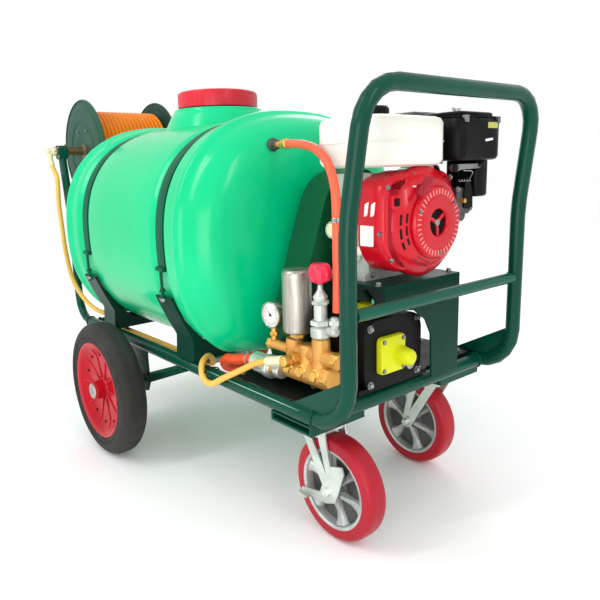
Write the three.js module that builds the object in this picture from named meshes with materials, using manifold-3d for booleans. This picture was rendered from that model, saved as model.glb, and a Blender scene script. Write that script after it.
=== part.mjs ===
// Wheeled sprayer cart: an engine drives a plunger pump by belt, and the pump draws from a strapped-down tank.
// Millimetres, +Z up. X runs from the hose reel (-X) to the push handle (+X), Y runs across the cart.
// The origin is on the ground, under the middle of the cart. "Left" is the -Y side, as seen by whoever pushes.
// Parts are placed from a datum 56.5 mm towards the reel, and the whole cart is moved to the origin at the end.
import * as THREE from 'three';
import { mergeVertices } from 'three/addons/utils/BufferGeometryUtils.js';
import Module from 'manifold-3d';

const wasm = await Module();
wasm.setup();

// ---- driving dimensions ----
const GAP = 0.4;                 // clearance between touching pieces
const DATUM_X = 56.5;
const SIDES = [['left', -1], ['right', 1]];

const TUBE_R = 17;               // 34 mm steel tube
const RAIL = { y: 287, z: 303 };
const RAIL_TOP = RAIL.z + TUBE_R;
const RAIL_END_X = -518;         // where the rail meets the reel post
const HANDLE_X = 732;
const CORNER_R = 95;             // bend at the foot of each upright
const HANDLE_TOP = { x: 767, y: 277, z: 951 };
const LEAN_Z = 700;              // the uprights lean outwards above this height
const CROSSBAR_Z = 532;

const REEL = { x: -715, z: 888, flangeR: 182, yLeft: -178, yRight: 112, drumR: 60, woundR: 141 };
const POST = { r: 13.5, x: -612, leanZ: 640, topY: 262 };

const WHEEL = { x: -141, y: 403, z: 193, tyreR: 193, rimR: 139, width: 78 };
const AXLE_R = 12.5;

const CASTER = { x: 560, y: 205, trail: 60, wheelR: 118, rimR: 88, width: 52 };
const CASTER_TOP_Z = 263;

const TANK = { x: -93, z: 624, halfLength: 450, a: 350, b: 311, power: 2.4, floorZ: 348, strapX: 236, wall: 8 };
const ANGLE_STEP = 10;           // degrees between the facets of the tank and of its straps
const NECK = { x: -95, r: 106, boreR: 98, topZ: 1014, collarR: 132, collarTopZ: 984 };
const LID = { r: 120.5, topZ: 1034, innerR: 108, ceilingZ: 1018 };

const SHAFT = { y: 10, z: 684 };             // engine crankshaft axis, along X
const PUMP_SHAFT = { y: -90, z: 407 };       // pump crankshaft axis, along X
const PEDESTAL = { xBack: 480, xFront: 680, yLeft: -125, yRight: 135, topZ: 558, sheet: 5 };
const BELT = { x: 428, width: 34, engineR: 42, pumpR: 98, groove: 9 };
const GUARD = { xBack: 387, xFront: 474, r: 118, sheet: 2.5 };

// ---- materials ----
const paint = (color, roughness, metalness = 0) => (
  new THREE.MeshStandardMaterial({ color, roughness, metalness })
);
const LOOK = {
  frame: paint(0x1f4d40, 0.35, 0.3),
  tank: paint(0x14d696, 0.4),
  lid: paint(0xd8304a, 0.4),
  red: paint(0xd2263c, 0.3),
  white: paint(0xecebe2, 0.3),
  black: paint(0x141515, 0.5),
  cast: paint(0xb9bdb8, 0.5, 0.7),
  zinc: paint(0xcfd6d0, 0.4, 0.7),
  steel: paint(0xb8b4ac, 0.25, 0.9),
  brass: paint(0xc8964a, 0.35, 0.9),
  yellow: paint(0xdbe22c, 0.4),
  orange: paint(0xe2622c, 0.4),
  hose: paint(0xf2c25c, 0.5),
  woundHose: paint(0xee9020, 0.5),
  redHose: paint(0xe8684c, 0.5),
  tyre: paint(0x3a3a35, 0.9),
  tread: paint(0xbe3042, 0.45),
};

// ---- geometry helpers ----
const rad = THREE.MathUtils.degToRad;
const V2 = (x, y) => new THREE.Vector2(x, y);
const V3 = (x, y, z) => new THREE.Vector3(x, y, z);

function signedVolume(geometry) {
  const position = geometry.attributes.position;
  const index = geometry.index;
  const corner = [V3(), V3(), V3()];
  let volume = 0;
  for (let i = 0; i < index.count; i += 3) {
    corner.forEach((point, k) => point.fromBufferAttribute(position, index.getX(i + k)));
    volume += corner[0].dot(corner[1].clone().cross(corner[2])) / 6;
  }
  return volume;
}

// Merges the shared vertices of a closed shape, drops its collapsed triangles and turns its faces outwards.
function closed(geometry) {
  const bare = geometry.clone();
  ['normal', 'uv'].forEach((name) => bare.deleteAttribute(name));
  const merged = mergeVertices(bare, 1e-3);
  const inward = signedVolume(merged) < 0;
  const faces = [];
  for (let i = 0; i < merged.index.count; i += 3) {
    const [a, b, c] = [0, 1, 2].map((k) => merged.index.getX(i + k));
    if (a !== b && b !== c && c !== a) {
      faces.push(...(inward ? [b, a, c] : [a, b, c]));
    }
  }
  merged.setIndex(faces);
  merged.computeVertexNormals();
  return merged;
}

function toManifold(geometry) {
  const merged = closed(geometry);
  return new wasm.Manifold(new wasm.Mesh({
    numProp: 3,
    vertProperties: new Float32Array(merged.attributes.position.array),
    triVerts: new Uint32Array(merged.index.array),
  }));
}

function fromManifold(solid) {
  const mesh = solid.asOriginal().simplify(0.05).getMesh();
  const geometry = new THREE.BufferGeometry();
  geometry.setAttribute('position', new THREE.BufferAttribute(mesh.vertProperties, 3));
  geometry.setIndex(new THREE.BufferAttribute(mesh.triVerts, 1));
  geometry.computeVertexNormals();
  return geometry;
}

const join = (first, ...rest) => fromManifold(
  rest.reduce((sum, g) => sum.add(toManifold(g)), toManifold(first)),
);
const cut = (first, ...rest) => fromManifold(
  rest.reduce((sum, g) => sum.subtract(toManifold(g)), toManifold(first)),
);

function box(x0, x1, y0, y1, z0, z1) {
  const geometry = new THREE.BoxGeometry(x1 - x0, y1 - y0, z1 - z0);
  return geometry.translate((x0 + x1) / 2, (y0 + y1) / 2, (z0 + z1) / 2);
}

// A straight-sided outline, always drawn counter-clockwise so that its holes are cut out.
function polygon(points) {
  const corners = points.map(([x, y]) => V2(x, y));
  return new THREE.Shape(THREE.ShapeUtils.isClockWise(corners) ? corners.reverse() : corners);
}

// A rectangle with rounded corners, from its lower-left corner to its upper-right corner.
function roundedRectangle(x0, y0, x1, y1, r) {
  const shape = new THREE.Shape();
  shape.absarc(x1 - r, y0 + r, r, -Math.PI / 2, 0);
  shape.absarc(x1 - r, y1 - r, r, 0, Math.PI / 2);
  shape.absarc(x0 + r, y1 - r, r, Math.PI / 2, Math.PI);
  shape.absarc(x0 + r, y0 + r, r, Math.PI, Math.PI * 1.5);
  shape.closePath();
  return shape;
}

// Extrusions of a flat outline along one axis. The outline is drawn in the other two axes, in alphabetical order.
function extrude(shape, depth, bevel = 0, curveSegments = 4) {
  return new THREE.ExtrudeGeometry(shape, {
    depth: depth - 2 * bevel,
    curveSegments,
    bevelEnabled: bevel > 0,
    bevelSize: bevel,
    bevelThickness: bevel,
    bevelOffset: -bevel,
    bevelSegments: 1,
  }).translate(0, 0, bevel);
}
const alongZ = (shape, z0, z1, bevel, segments) => extrude(shape, z1 - z0, bevel, segments).translate(0, 0, z0);
const alongX = (shape, x0, x1, bevel, segments) => extrude(shape, x1 - x0, bevel, segments)
  .applyMatrix4(new THREE.Matrix4().makeBasis(V3(0, 1, 0), V3(0, 0, 1), V3(1, 0, 0))).translate(x0, 0, 0);
const alongY = (shape, y0, y1, bevel, segments) => extrude(shape, y1 - y0, bevel, segments)
  .applyMatrix4(new THREE.Matrix4().makeBasis(V3(1, 0, 0), V3(0, 0, 1), V3(0, 1, 0))).translate(0, y0, 0);

// Turned parts. The profile lists [radius, distance along the axis] and starts and ends on the axis or closes.
const TURN = { x: [0, 0, -Math.PI / 2], y: [0, 0, 0], z: [Math.PI / 2, 0, 0] };
function turned(profile, axis, segments = 24) {
  const lathe = new THREE.LatheGeometry(profile.map(([r, h]) => V2(r, h)), segments);
  const [rx, , rz] = TURN[axis];
  return lathe.rotateX(rx).rotateZ(rz);
}
function rod(radius, from, to, axis, segments = 16) {
  return turned([[0, from], [radius, from], [radius, to], [0, to]], axis, segments);
}
function ring(outerR, innerR, from, to, axis, segments = 24) {
  const profile = [[innerR, from], [outerR, from], [outerR, to], [innerR, to], [innerR, from]];
  return turned(profile, axis, segments);
}

// A path of straight runs and round bends. Each corner is [x, y, z, bend radius].
class BentPath extends THREE.Curve {
  constructor(corners, bendSteps) {
    super();
    this.stations = [];
    const points = corners.map(([x, y, z]) => V3(x, y, z));
    points.forEach((point, i) => {
      const before = points[i - 1];
      const after = points[i + 1];
      if (before && after) {
        this.addBend(before, point, after, corners[i][3], bendSteps);
        return;
      }
      const tangent = before ? point.clone().sub(before) : after.clone().sub(point);
      this.addStation(point, tangent.normalize());
    });
  }

  addStation(point, tangent) {
    const last = this.stations.at(-1);
    if (!last || last.point.distanceTo(point) > 0.01) {
      this.stations.push({ point, tangent });
    }
  }

  addBend(before, corner, after, radius, bendSteps) {
    const into = corner.clone().sub(before).normalize();
    const out = after.clone().sub(corner).normalize();
    const angle = into.angleTo(out);
    const setback = radius * Math.tan(angle / 2);
    const start = corner.clone().addScaledVector(into, -setback);
    const inward = out.clone().addScaledVector(into, -into.dot(out)).normalize();
    const steps = Math.max(1, Math.round(bendSteps * angle / (Math.PI / 2)));
    for (let i = 0; i <= steps; i += 1) {
      const turn = angle * i / steps;
      const point = start.clone().addScaledVector(into, radius * Math.sin(turn))
        .addScaledVector(inward, radius * (1 - Math.cos(turn)));
      const tangent = into.clone().multiplyScalar(Math.cos(turn)).addScaledVector(inward, Math.sin(turn));
      this.addStation(point, tangent);
    }
  }

  getPoint(t) {
    const place = t * (this.stations.length - 1);
    const i = Math.min(Math.floor(place), this.stations.length - 2);
    return this.stations[i].point.clone().lerp(this.stations[i + 1].point, place - i);
  }

  getPointAt(u) {
    return this.getPoint(u);
  }

  getTangentAt(u) {
    return this.stations[Math.round(u * (this.stations.length - 1))].tangent.clone();
  }
}

function circle(radius, sides) {
  const points = Array.from({ length: sides }, (_, i) => {
    const angle = 2 * Math.PI * i / sides;
    return V2(radius * Math.cos(angle), radius * Math.sin(angle));
  });
  return new THREE.Shape(points);
}

function bentTube(corners, radius, sides = 10, bendSteps = 5) {
  const path = new BentPath(corners, bendSteps);
  const steps = path.stations.length - 1;
  return new THREE.ExtrudeGeometry(circle(radius, sides), { extrudePath: path, steps });
}

function hoseTube(points, radius, steps, sides = 8) {
  const path = new THREE.CatmullRomCurve3(points.map(([x, y, z]) => V3(x, y, z)), false, 'centripetal');
  return new THREE.ExtrudeGeometry(circle(radius, sides), { extrudePath: path, steps });
}

// ---- the cart ----
const cart = new THREE.Group();
cart.position.x = DATUM_X;

function add(name, geometry, look, parent = cart) {
  const mesh = new THREE.Mesh(closed(geometry), LOOK[look]);
  mesh.name = name;
  parent.add(mesh);
  return mesh;
}

// ---- frame ----
function handleHoop() {
  const straightX = HANDLE_X - CORNER_R;
  const half = (side) => [
    [straightX, side * RAIL.y, RAIL.z],
    [HANDLE_X, side * RAIL.y, RAIL.z, CORNER_R],
    [HANDLE_X, side * RAIL.y, LEAN_Z, 300],
    [HANDLE_TOP.x, side * HANDLE_TOP.y, HANDLE_TOP.z, 82],
  ];
  const tube = bentTube([...half(-1), ...half(1).reverse()], TUBE_R, 10, 5);
  return join(tube, ...SIDES.map(([, side]) => gusset(side)));
}

// A triangular plate that fills the inside of the bend at the foot of an upright.
function gusset(side) {
  const arcR = CORNER_R - TUBE_R + 6;
  const thickness = 6;
  const shape = new THREE.Shape();
  shape.moveTo(HANDLE_X - CORNER_R - 70, RAIL.z + TUBE_R + GAP);
  shape.lineTo(HANDLE_X - CORNER_R, RAIL.z + TUBE_R + GAP);
  shape.lineTo(HANDLE_X - CORNER_R, RAIL.z + CORNER_R - arcR);
  shape.absarc(HANDLE_X - CORNER_R, RAIL.z + CORNER_R, arcR, -Math.PI / 2, 0);
  shape.lineTo(HANDLE_X - TUBE_R + 6, RAIL.z + CORNER_R + 6);
  shape.closePath();
  return alongY(shape, side * RAIL.y - thickness / 2, side * RAIL.y + thickness / 2);
}

function sideRail(side) {
  const end = HANDLE_X - CORNER_R - GAP;
  return rod(TUBE_R, RAIL_END_X + GAP, end, 'x', 12).translate(0, side * RAIL.y, RAIL.z);
}

// The post rises from the end of the side rail, leans away from the tank and carries the reel's bearing block.
function reelPost(side) {
  const y = side * RAIL.y;
  const topY = side * POST.topY;
  const post = bentTube([
    [RAIL_END_X, y, RAIL.z],
    [POST.x, y, RAIL.z, 80],
    [POST.x, y, POST.leanZ, 200],
    [REEL.x, topY, REEL.z - 15],
  ], POST.r, 10, 4);
  const blockShape = roundedRectangle(REEL.x - 20, REEL.z - 28, REEL.x + 20, REEL.z + 20, 12);
  const block = alongY(blockShape, topY - 15, topY + 15);
  const bore = rod(13, -400, 400, 'y', 16).translate(REEL.x, 0, REEL.z);
  return cut(join(post, block), bore);
}

function crossTube(x, z, radius, halfLength, sides = 12) {
  return rod(radius, -halfLength, halfLength, 'y', sides).translate(x, 0, z);
}

function deckPlate() {
  const lip = 14;
  const sheet = 3;
  const x0 = 330;
  const x1 = 622;
  const halfWidth = RAIL.y - 4;
  const top = box(x0, x1, -halfWidth, halfWidth, RAIL_TOP + GAP, RAIL_TOP + GAP + sheet);
  const fold = box(x0, x0 + sheet, -RAIL.y + 40, RAIL.y - 40, RAIL_TOP - lip, RAIL_TOP + GAP + sheet / 2);
  const guardSlot = box(GUARD.xBack - 3, GUARD.xFront + 3, PUMP_SHAFT.y - 83, PUMP_SHAFT.y + 83, 300, 340);
  return cut(join(top, fold), guardSlot);
}

// A short length of channel under the rail: the caster's top plate bolts to its lower wall.
function casterMount(side) {
  const [x0, x1] = [CASTER.x - 60, CASTER.x + 72];
  const [inner, outer] = [-68, 92];
  const z1 = RAIL.z - TUBE_R - GAP;
  const block = box(x0, x1, CASTER.y + inner, CASTER.y + outer, CASTER_TOP_Z, z1);
  const hollow = box(x0 + 6, x1 - 6, CASTER.y + inner - 5, CASTER.y + outer + 5, CASTER_TOP_Z + 6, z1 - 5);
  return cut(block, hollow).scale(1, side, 1);
}

// The plate that hangs the axle under the side rail, with its diagonal brace.
function axleBracket(side) {
  const top = RAIL.z - TUBE_R - GAP;
  const shape = polygon([
    [-258, top], [-258, top - 26], [WHEEL.x - 36, WHEEL.z - 8], [WHEEL.x - 22, WHEEL.z - 34],
    [WHEEL.x + 22, WHEEL.z - 34], [WHEEL.x + 36, WHEEL.z - 8], [-108, top - 26], [-108, top],
  ]);
  const y = side * RAIL.y;
  const plate = alongY(shape, y - 4, y + 4);
  const brace = alongY(polygon([
    [WHEEL.x + 20, WHEEL.z - 12], [WHEEL.x + 12, WHEEL.z + 10], [96, top], [142, top],
  ]), y - 8, y + 8);
  const axleHole = rod(AXLE_R + GAP, -400, 400, 'y', 20).translate(WHEEL.x, 0, WHEEL.z);
  const drilledHole = rod(5, -400, 400, 'y', 10).translate(-195, 0, top - 20);
  return cut(join(plate, brace), axleHole, drilledHole);
}

function buildFrame() {
  add('handle_hoop', handleHoop(), 'frame');
  SIDES.forEach(([name, side]) => {
    add(`side_rail_${name}`, sideRail(side), 'frame');
    add(`reel_post_${name}`, reelPost(side), 'frame');
    add(`caster_mount_${name}`, casterMount(side), 'frame');
    add(`axle_bracket_${name}`, axleBracket(side), 'frame');
  });
  add('crossbar', crossTube(HANDLE_X, CROSSBAR_Z, 13, RAIL.y - TUBE_R - GAP), 'frame');
  add('handle_cross_rail', crossTube(HANDLE_X - 92, RAIL.z, TUBE_R, RAIL.y - TUBE_R - GAP), 'frame');
  add('reel_cross_rail', crossTube(-480, RAIL.z, TUBE_R, RAIL.y - TUBE_R - GAP), 'frame');
  add('deck_plate', deckPlate(), 'frame');
  add('axle_shaft', crossTube(WHEEL.x, WHEEL.z, AXLE_R, WHEEL.y + 50, 20), 'steel');
}

// ---- tank ----
// The tank's cross-section is a squarish oval. This is its radius at an angle, grown outwards by an offset.
function ovalRadius(angle, offset = 0) {
  const across = Math.abs(Math.cos(angle)) / (TANK.a + offset);
  const upright = Math.abs(Math.sin(angle)) / (TANK.b + offset);
  return (across ** TANK.power + upright ** TANK.power) ** (-1 / TANK.power);
}

function ovalPoint(degrees, offset) {
  const r = ovalRadius(rad(degrees), offset);
  return [r * Math.cos(rad(degrees)), TANK.z + r * Math.sin(rad(degrees))];
}

// Turns a profile of [relative radius, x] into an oval body with a flat foot.
function ovalBody(profile, floorZ) {
  const body = turned(profile, 'x', 360 / ANGLE_STEP);
  const position = body.attributes.position;
  for (let i = 0; i < position.count; i += 1) {
    const y = position.getY(i);
    const z = position.getZ(i);
    const r = ovalRadius(Math.atan2(z, y));
    position.setXYZ(i, TANK.x + position.getX(i), y * r, Math.max(TANK.z + z * r, floorZ));
  }
  return body;
}

function mirroredProfile(half) {
  return [...half.map(([r, x]) => [r, -x]), ...half.toReversed()];
}

function tankBody() {
  const end = TANK.halfLength;
  const outer = mirroredProfile([
    [0, end], [0.48, end - 5], [0.74, end - 16], [0.9, end - 36], [0.985, end - 64], [1.025, end - 98],
    [1.035, end - 130], [1.03, TANK.strapX + 36], [1, TANK.strapX + 24], [1, TANK.strapX - 24],
    [1.018, TANK.strapX - 40],
  ]);
  const inner = mirroredProfile([
    [0, end - TANK.wall], [0.73, end - 28], [0.95, end - 70], [0.975, end - 110],
  ]);
  return cut(
    join(
      ovalBody(outer, TANK.floorZ),
      rod(NECK.collarR, 860, NECK.collarTopZ, 'z', 36).translate(NECK.x, 0, 0),
      rod(NECK.r, 860, NECK.topZ, 'z', 36).translate(NECK.x, 0, 0),
    ),
    ovalBody(inner, TANK.floorZ + TANK.wall),
    rod(NECK.boreR, 850, NECK.topZ + 10, 'z', 36).translate(NECK.x, 0, 0),
  );
}

function tankLid() {
  return turned([
    [0, LID.ceilingZ], [LID.innerR, LID.ceilingZ], [LID.innerR, NECK.collarTopZ + GAP],
    [LID.r, NECK.collarTopZ + GAP], [LID.r, LID.topZ - 7], [LID.r - 7, LID.topZ], [0, LID.topZ],
  ], 'z', 36).translate(NECK.x, 0, 0);
}

function tankStrap(x) {
  const width = 30;
  const thickness = 3;
  const angles = Array.from({ length: 21 }, (_, i) => -10 + i * ANGLE_STEP);
  const inside = angles.map((angle) => ovalPoint(angle, GAP));
  const outside = angles.map((angle) => ovalPoint(angle, GAP + thickness));
  return alongX(polygon([...inside, ...outside.reverse()]), x - width / 2, x + width / 2);
}

// A pressed saddle: it follows the tank's underside, and its legs stand on the two side rails.
function tankSaddle(x) {
  const width = 84;
  const lugAngle = -20;
  const angles = Array.from({ length: 15 }, (_, i) => lugAngle - i * ANGLE_STEP);
  const ribClearance = 13;
  const cradle = angles.map((angle) => {
    const [y, z] = ovalPoint(angle, ribClearance);
    return [y, Math.max(z, TANK.floorZ) - (z < TANK.floorZ ? GAP : 0)];
  });
  const lug = ovalPoint(lugAngle, ribClearance + 7);
  const footZ = RAIL_TOP + GAP;
  const rightLeg = [[RAIL.y - 30, footZ], [RAIL.y + 15, footZ], [RAIL.y + 12, 382], [RAIL.y + 40, 436], lug];
  const leftLeg = rightLeg.map(([y, z]) => [-y, z]).reverse();
  return alongX(polygon([...cradle, ...leftLeg, ...rightLeg]), x - width / 2, x + width / 2);
}

function buildTank() {
  add('tank', tankBody(), 'tank');
  add('tank_lid', tankLid(), 'lid');
  [['front', -1], ['rear', 1]].forEach(([name, side]) => {
    const x = TANK.x + side * TANK.strapX;
    add(`tank_strap_${name}`, tankStrap(x), 'frame');
    add(`tank_saddle_${name}`, tankSaddle(x), 'frame');
  });
}

// ---- hoses ----
const RETURN_PORT = { x: 339, y: -137, z: 862 };
function returnFitting() {
  return turned([[0, 0], [15, 0], [15, 10], [9, 10], [9, 26], [7, 26], [7, 44], [0, 44]], 'x', 12)
    .translate(RETURN_PORT.x, RETURN_PORT.y, RETURN_PORT.z);
}

function returnHose() {
  return hoseTube([
    [384, -142, 862], [430, -153, 860], [490, -172, 855], [540, -184, 843], [582, -193, 818], [608, -198, 770],
    [616, -201, 700], [618, -203, 620], [620, -205, 560], [618, -205, 510],
  ], 9.5, 24);
}

function deliveryHose() {
  return hoseTube([
    [REEL.x, -304, 854], [-712, -304, 845], [-694, -304, 826], [-664, -306, 795], [-662, -309, 700],
    [-640, -314, 630], [-616, -318, 541], [-573, -319, 452], [-500, -314, 394], [-440, -300, 362],
    [-408, -274, 344], [-391, -254, 322], [-374, -249, 309], [-340, -246, 305], [-230, -244, 304],
    [-40, -244, 304], [120, -244, 305], [176, -244, 305], [190, -246, 309], [204, -255, 327],
    [214, -273, 340], [230, -300, 335], [248, -316, 316], [268, -320, 300], [296, -319, 298],
    [340, -310, 322], [392, -300, 350], [440, -288, 376], [486, -276, 392], [517, -272, 398],
  ], 7.5, 56);
}

// ---- hose reel ----
function hoseReel() {
  const { flangeR, yLeft, yRight, drumR } = REEL;
  const sheet = 3;
  const flange = (y, out) => [
    [0, y], [95, y], [110, y + out * 5], [155, y + out * 5], [flangeR, y],
    [flangeR, y - out * sheet], [155, y + out * 2], [110, y + out * 2],
    [95, y - out * sheet], [0, y - out * sheet],
  ];
  const left = turned(flange(yLeft, -1), 'y', 30);
  const right = turned(flange(yRight, 1), 'y', 30);
  const drum = rod(drumR, yLeft + 1, yRight - 1, 'y', 20);
  const hollow = rod(drumR - 4, yLeft + sheet, yRight + 10, 'y', 20);
  const spoke = box(1 - drumR, drumR - 1, yRight - 12, yRight, -10, 10);
  const crossSpoke = spoke.clone().rotateY(rad(90));
  const axle = rod(12, -283, 283, 'y', 12);
  return join(cut(join(left, right, drum), hollow), spoke, crossSpoke, axle).translate(REEL.x, 0, REEL.z);
}

function woundHose() {
  const clearance = 6;
  return ring(REEL.woundR, REEL.drumR + 1, REEL.yLeft + clearance, REEL.yRight - clearance, 'y', 28)
    .translate(REEL.x, 0, REEL.z);
}

function reelSwivel() {
  const body = turned([
    [0, -284], [15, -284], [15, -296], [11, -296], [11, -316], [0, -316],
  ], 'y', 12);
  const elbow = rod(8.5, -30, 4, 'z', 12).translate(0, -304, 0);
  return join(body, elbow).translate(REEL.x, 0, REEL.z);
}

function buildReel() {
  add('hose_reel', hoseReel(), 'frame');
  add('reel_hose', woundHose(), 'woundHose');
  add('reel_swivel', reelSwivel(), 'brass');
  add('return_fitting', returnFitting(), 'brass');
  add('return_hose', returnHose(), 'redHose');
  add('delivery_hose', deliveryHose(), 'hose');
}

// ---- engine ----
function pedestal() {
  const { xBack, xFront, yLeft, yRight, topZ, sheet } = PEDESTAL;
  const footZ = RAIL_TOP + GAP + 3 + GAP;
  const front = alongX(polygon([
    [35, footZ], [yRight, footZ], [yRight, topZ], [yLeft, topZ], [yLeft, 505], [-80, 503], [-30, 494], [10, 466],
    [30, 430],
  ]), xFront - sheet, xFront);
  const back = alongX(polygon([
    [60, footZ], [yRight, footZ], [yRight, topZ], [yLeft, topZ], [yLeft - 35, topZ - 35], [yLeft - 35, footZ],
    [yLeft - 15, footZ], [yLeft - 15, 505], [30, 505], [60, 470],
  ]), xBack, xBack + sheet);
  const top = box(xBack, xFront, yLeft, yRight, topZ - sheet, topZ);
  return join(front, back, top);
}

function crankcase() {
  const baseZ = PEDESTAL.topZ + GAP;
  const body = alongX(polygon([
    [-105, baseZ], [112, baseZ], [112, baseZ + 13], [92, baseZ + 18], [96, 700], [70, 760], [0, 790], [-84, 790],
    [-98, 760], [-92, 640], [-92, baseZ + 18], [-105, baseZ + 13],
  ]), 495, 603);
  const cover = rod(82, 482, 496, 'x', 24).translate(0, SHAFT.y, SHAFT.z);
  const fillerNeck = rod(15, -112, -85, 'y', 12).translate(520, 0, 668);
  const fillerCap = rod(19, -124, -110, 'y', 14).translate(520, 0, 668);
  const bore = rod(12, 470, 520, 'x', 16).translate(0, SHAFT.y, SHAFT.z);
  return cut(join(body, cover, fillerNeck, fillerCap), bore);
}

// The cylinder leans up towards +Y. Its outline is a comb of cooling fins that ends in the valve cover.
function cylinderHead() {
  const tilt = 25;
  const finPitch = 11;
  const finDepth = 9;
  const finWidth = 4;
  const [start, end, halfHeight] = [96, 176, 48];
  const upper = [];
  for (let u = start; u < end; u += finPitch) {
    upper.push([u, halfHeight], [u + finWidth, halfHeight]);
    upper.push([u + finWidth, halfHeight - finDepth], [u + finPitch, halfHeight - finDepth]);
  }
  const cover = [[end + 8, 36], [end + 34, 34], [end + 38, 28]];
  const half = [...upper, ...cover];
  const outline = [...half, ...half.map(([u, v]) => [u, -v]).reverse()];
  return alongX(polygon(outline), 490, 573).rotateX(rad(tilt)).translate(0, SHAFT.y, SHAFT.z);
}

const GRIP = { x: 706, y: -50, z: 762 };         // the starter's pull handle

// Outline of the fan shroud in Y and Z, shrunk by an inset.
function shroudOutline(inset) {
  const corners = [
    [-70, 580], [50, 580], [84, 610], [112, 668], [112, 760], [92, 792], [-40, 796], [-118, 778], [-128, 740],
    [-128, 640], [-104, 600],
  ];
  const centre = V2(SHAFT.y, SHAFT.z);
  return corners.map(([y, z]) => {
    const arm = V2(y, z).sub(centre);
    return centre.clone().add(arm.multiplyScalar(1 - inset / arm.length())).toArray();
  });
}

function fanShroud() {
  const wall = 4;
  const [back, shoulder, front] = [606, 668, 698];
  const skirt = (inset, x0, x1) => alongX(polygon(shroudOutline(inset)), x0, x1);
  const nose = turned([[0, 650], [106, 650], [104, shoulder + 10], [94, front], [0, front]], 'x', 28)
    .translate(0, SHAFT.y, SHAFT.z);
  const outer = join(skirt(0, back, shoulder + 8), nose);
  const opening = rod(70, 640, front + 5, 'x', 28).translate(0, SHAFT.y, SHAFT.z);
  const ropeHole = rod(3.5, 640, front + 5, 'x', 12).translate(0, GRIP.y, GRIP.z);
  return cut(outer, skirt(wall, back - 5, shoulder + 4), opening, ropeHole);
}

function recoilStarter() {
  const face = 712;
  return turned([
    [28, 701], [66, 701], [66, 698.5], [78, 698.5], [78, face - 8], [74, face - 2], [62, face - 2], [56, face],
    [28, face], [28, 701],
  ], 'x', 28).translate(0, SHAFT.y, SHAFT.z);
}

function starterGrip() {
  const bar = alongX(roundedRectangle(-26, -9, 26, 9, 8), -9, 9);
  const stem = rod(5, -19, 0, 'x', 10);
  const rope = rod(2, -96, -18, 'x', 8);
  return join(bar, stem, rope).rotateX(rad(42)).translate(GRIP.x + 12, GRIP.y, GRIP.z);
}

function fuelTank() {
  const [x0, x1, y0, y1] = [517, 692, -168, 62];
  const body = alongZ(roundedRectangle(x0, y0, x1, y1, 34), 803, 905, 12, 3);
  const seam = alongZ(roundedRectangle(x0 - 4, y0 - 4, x1 + 4, y1 + 4, 38), 850, 856, 0, 3);
  const neck = rod(24, 900, 911, 'z', 16).translate(600, -70, 0);
  return join(body, seam, neck);
}

function fuelCap() {
  return turned([
    [0, 911.4], [30, 911.4], [30, 924], [24, 929], [0, 929],
  ], 'z', 20).translate(600, -70, 0);
}

function airCleaner() {
  const housing = alongZ(roundedRectangle(578, 84, 708, 246, 26), 812, 908, 8, 3);
  const duct = box(590, 680, 192, 240, 728, 816);
  const cover = alongZ(roundedRectangle(588, 94, 698, 236, 22), 904, 918, 0, 3);
  const wingNut = join(
    rod(7, 914, 928, 'z', 10).translate(642, 160, 0),
    box(639, 645, 146, 174, 922, 932),
  );
  return join(housing, duct, cover, wingNut);
}

function carburettor() {
  const body = box(618, 672, 130, 184, 690, 752);
  const bowl = rod(22, 672, 692, 'z', 16).translate(645, 158, 0);
  const flange = box(611, 619, 122, 186, 694, 756);
  const levers = box(670, 680, 150, 184, 700, 775);
  return join(body, bowl, flange, levers);
}

function muffler() {
  return alongX(roundedRectangle(92, 834, 214, 928, 22), 484, 568, 8, 3);
}

const THROTTLE = { x: 684, y: 92, z: 796 };
function throttleLever() {
  const arm = alongX(polygon([
    [-8, -8], [8, -8], [24, -4], [96, -2], [104, 4], [104, 12], [90, 8], [8, 8], [-8, 8],
  ]), 0, 5);
  const pivot = rod(6, -6, 7, 'x', 12);
  return join(arm, pivot).translate(THROTTLE.x, THROTTLE.y, THROTTLE.z);
}

function buildEngine() {
  add('engine_pedestal', pedestal(), 'frame');
  add('engine_crankcase', crankcase(), 'cast');
  add('cylinder_head', cylinderHead(), 'cast');
  add('fan_shroud', fanShroud(), 'red');
  add('recoil_starter', recoilStarter(), 'red');
  add('starter_grip', starterGrip(), 'red');
  add('fuel_tank', fuelTank(), 'white');
  add('fuel_cap', fuelCap(), 'white');
  add('air_cleaner', airCleaner(), 'black');
  add('carburettor', carburettor(), 'black');
  add('muffler', muffler(), 'cast');
  add('throttle_lever', throttleLever(), 'steel');
}

// ---- belt drive ----
function pulley(radius, shaftEnd) {
  const half = BELT.width / 2;
  const lip = 5;
  return turned([
    [0, BELT.x - half - lip], [radius, BELT.x - half - lip], [radius, BELT.x - half],
    [radius - BELT.groove, BELT.x - half], [radius - BELT.groove, BELT.x + half],
    [radius, BELT.x + half], [radius, BELT.x + half + lip],
    [10, BELT.x + half + lip], [10, shaftEnd], [0, shaftEnd],
  ], 'x', 32);
}

// The outline of a loop round both shafts, at a radius round the engine shaft and another round the pump shaft.
function loopOutline(engineR, pumpR, steps) {
  const engine = V2(SHAFT.y, SHAFT.z);
  const pump = V2(PUMP_SHAFT.y, PUMP_SHAFT.z);
  const toEngine = engine.clone().sub(pump);
  const heading = toEngine.angle();
  const open = Math.acos((pumpR - engineR) / toEngine.length());
  const arc = (centre, radius, from, to) => Array.from({ length: steps + 1 }, (_, i) => {
    const angle = from + (to - from) * i / steps;
    return [centre.x + radius * Math.cos(angle), centre.y + radius * Math.sin(angle)];
  });
  return [
    ...arc(engine, engineR, heading - open, heading + open),
    ...arc(pump, pumpR, heading + open, heading + 2 * Math.PI - open),
  ];
}

function loopShape(outer, inner, steps) {
  const shape = polygon(loopOutline(...outer, steps));
  if (inner) {
    shape.holes.push(new THREE.Path(loopOutline(...inner, steps).map(([y, z]) => V2(y, z))));
  }
  return shape;
}

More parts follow.
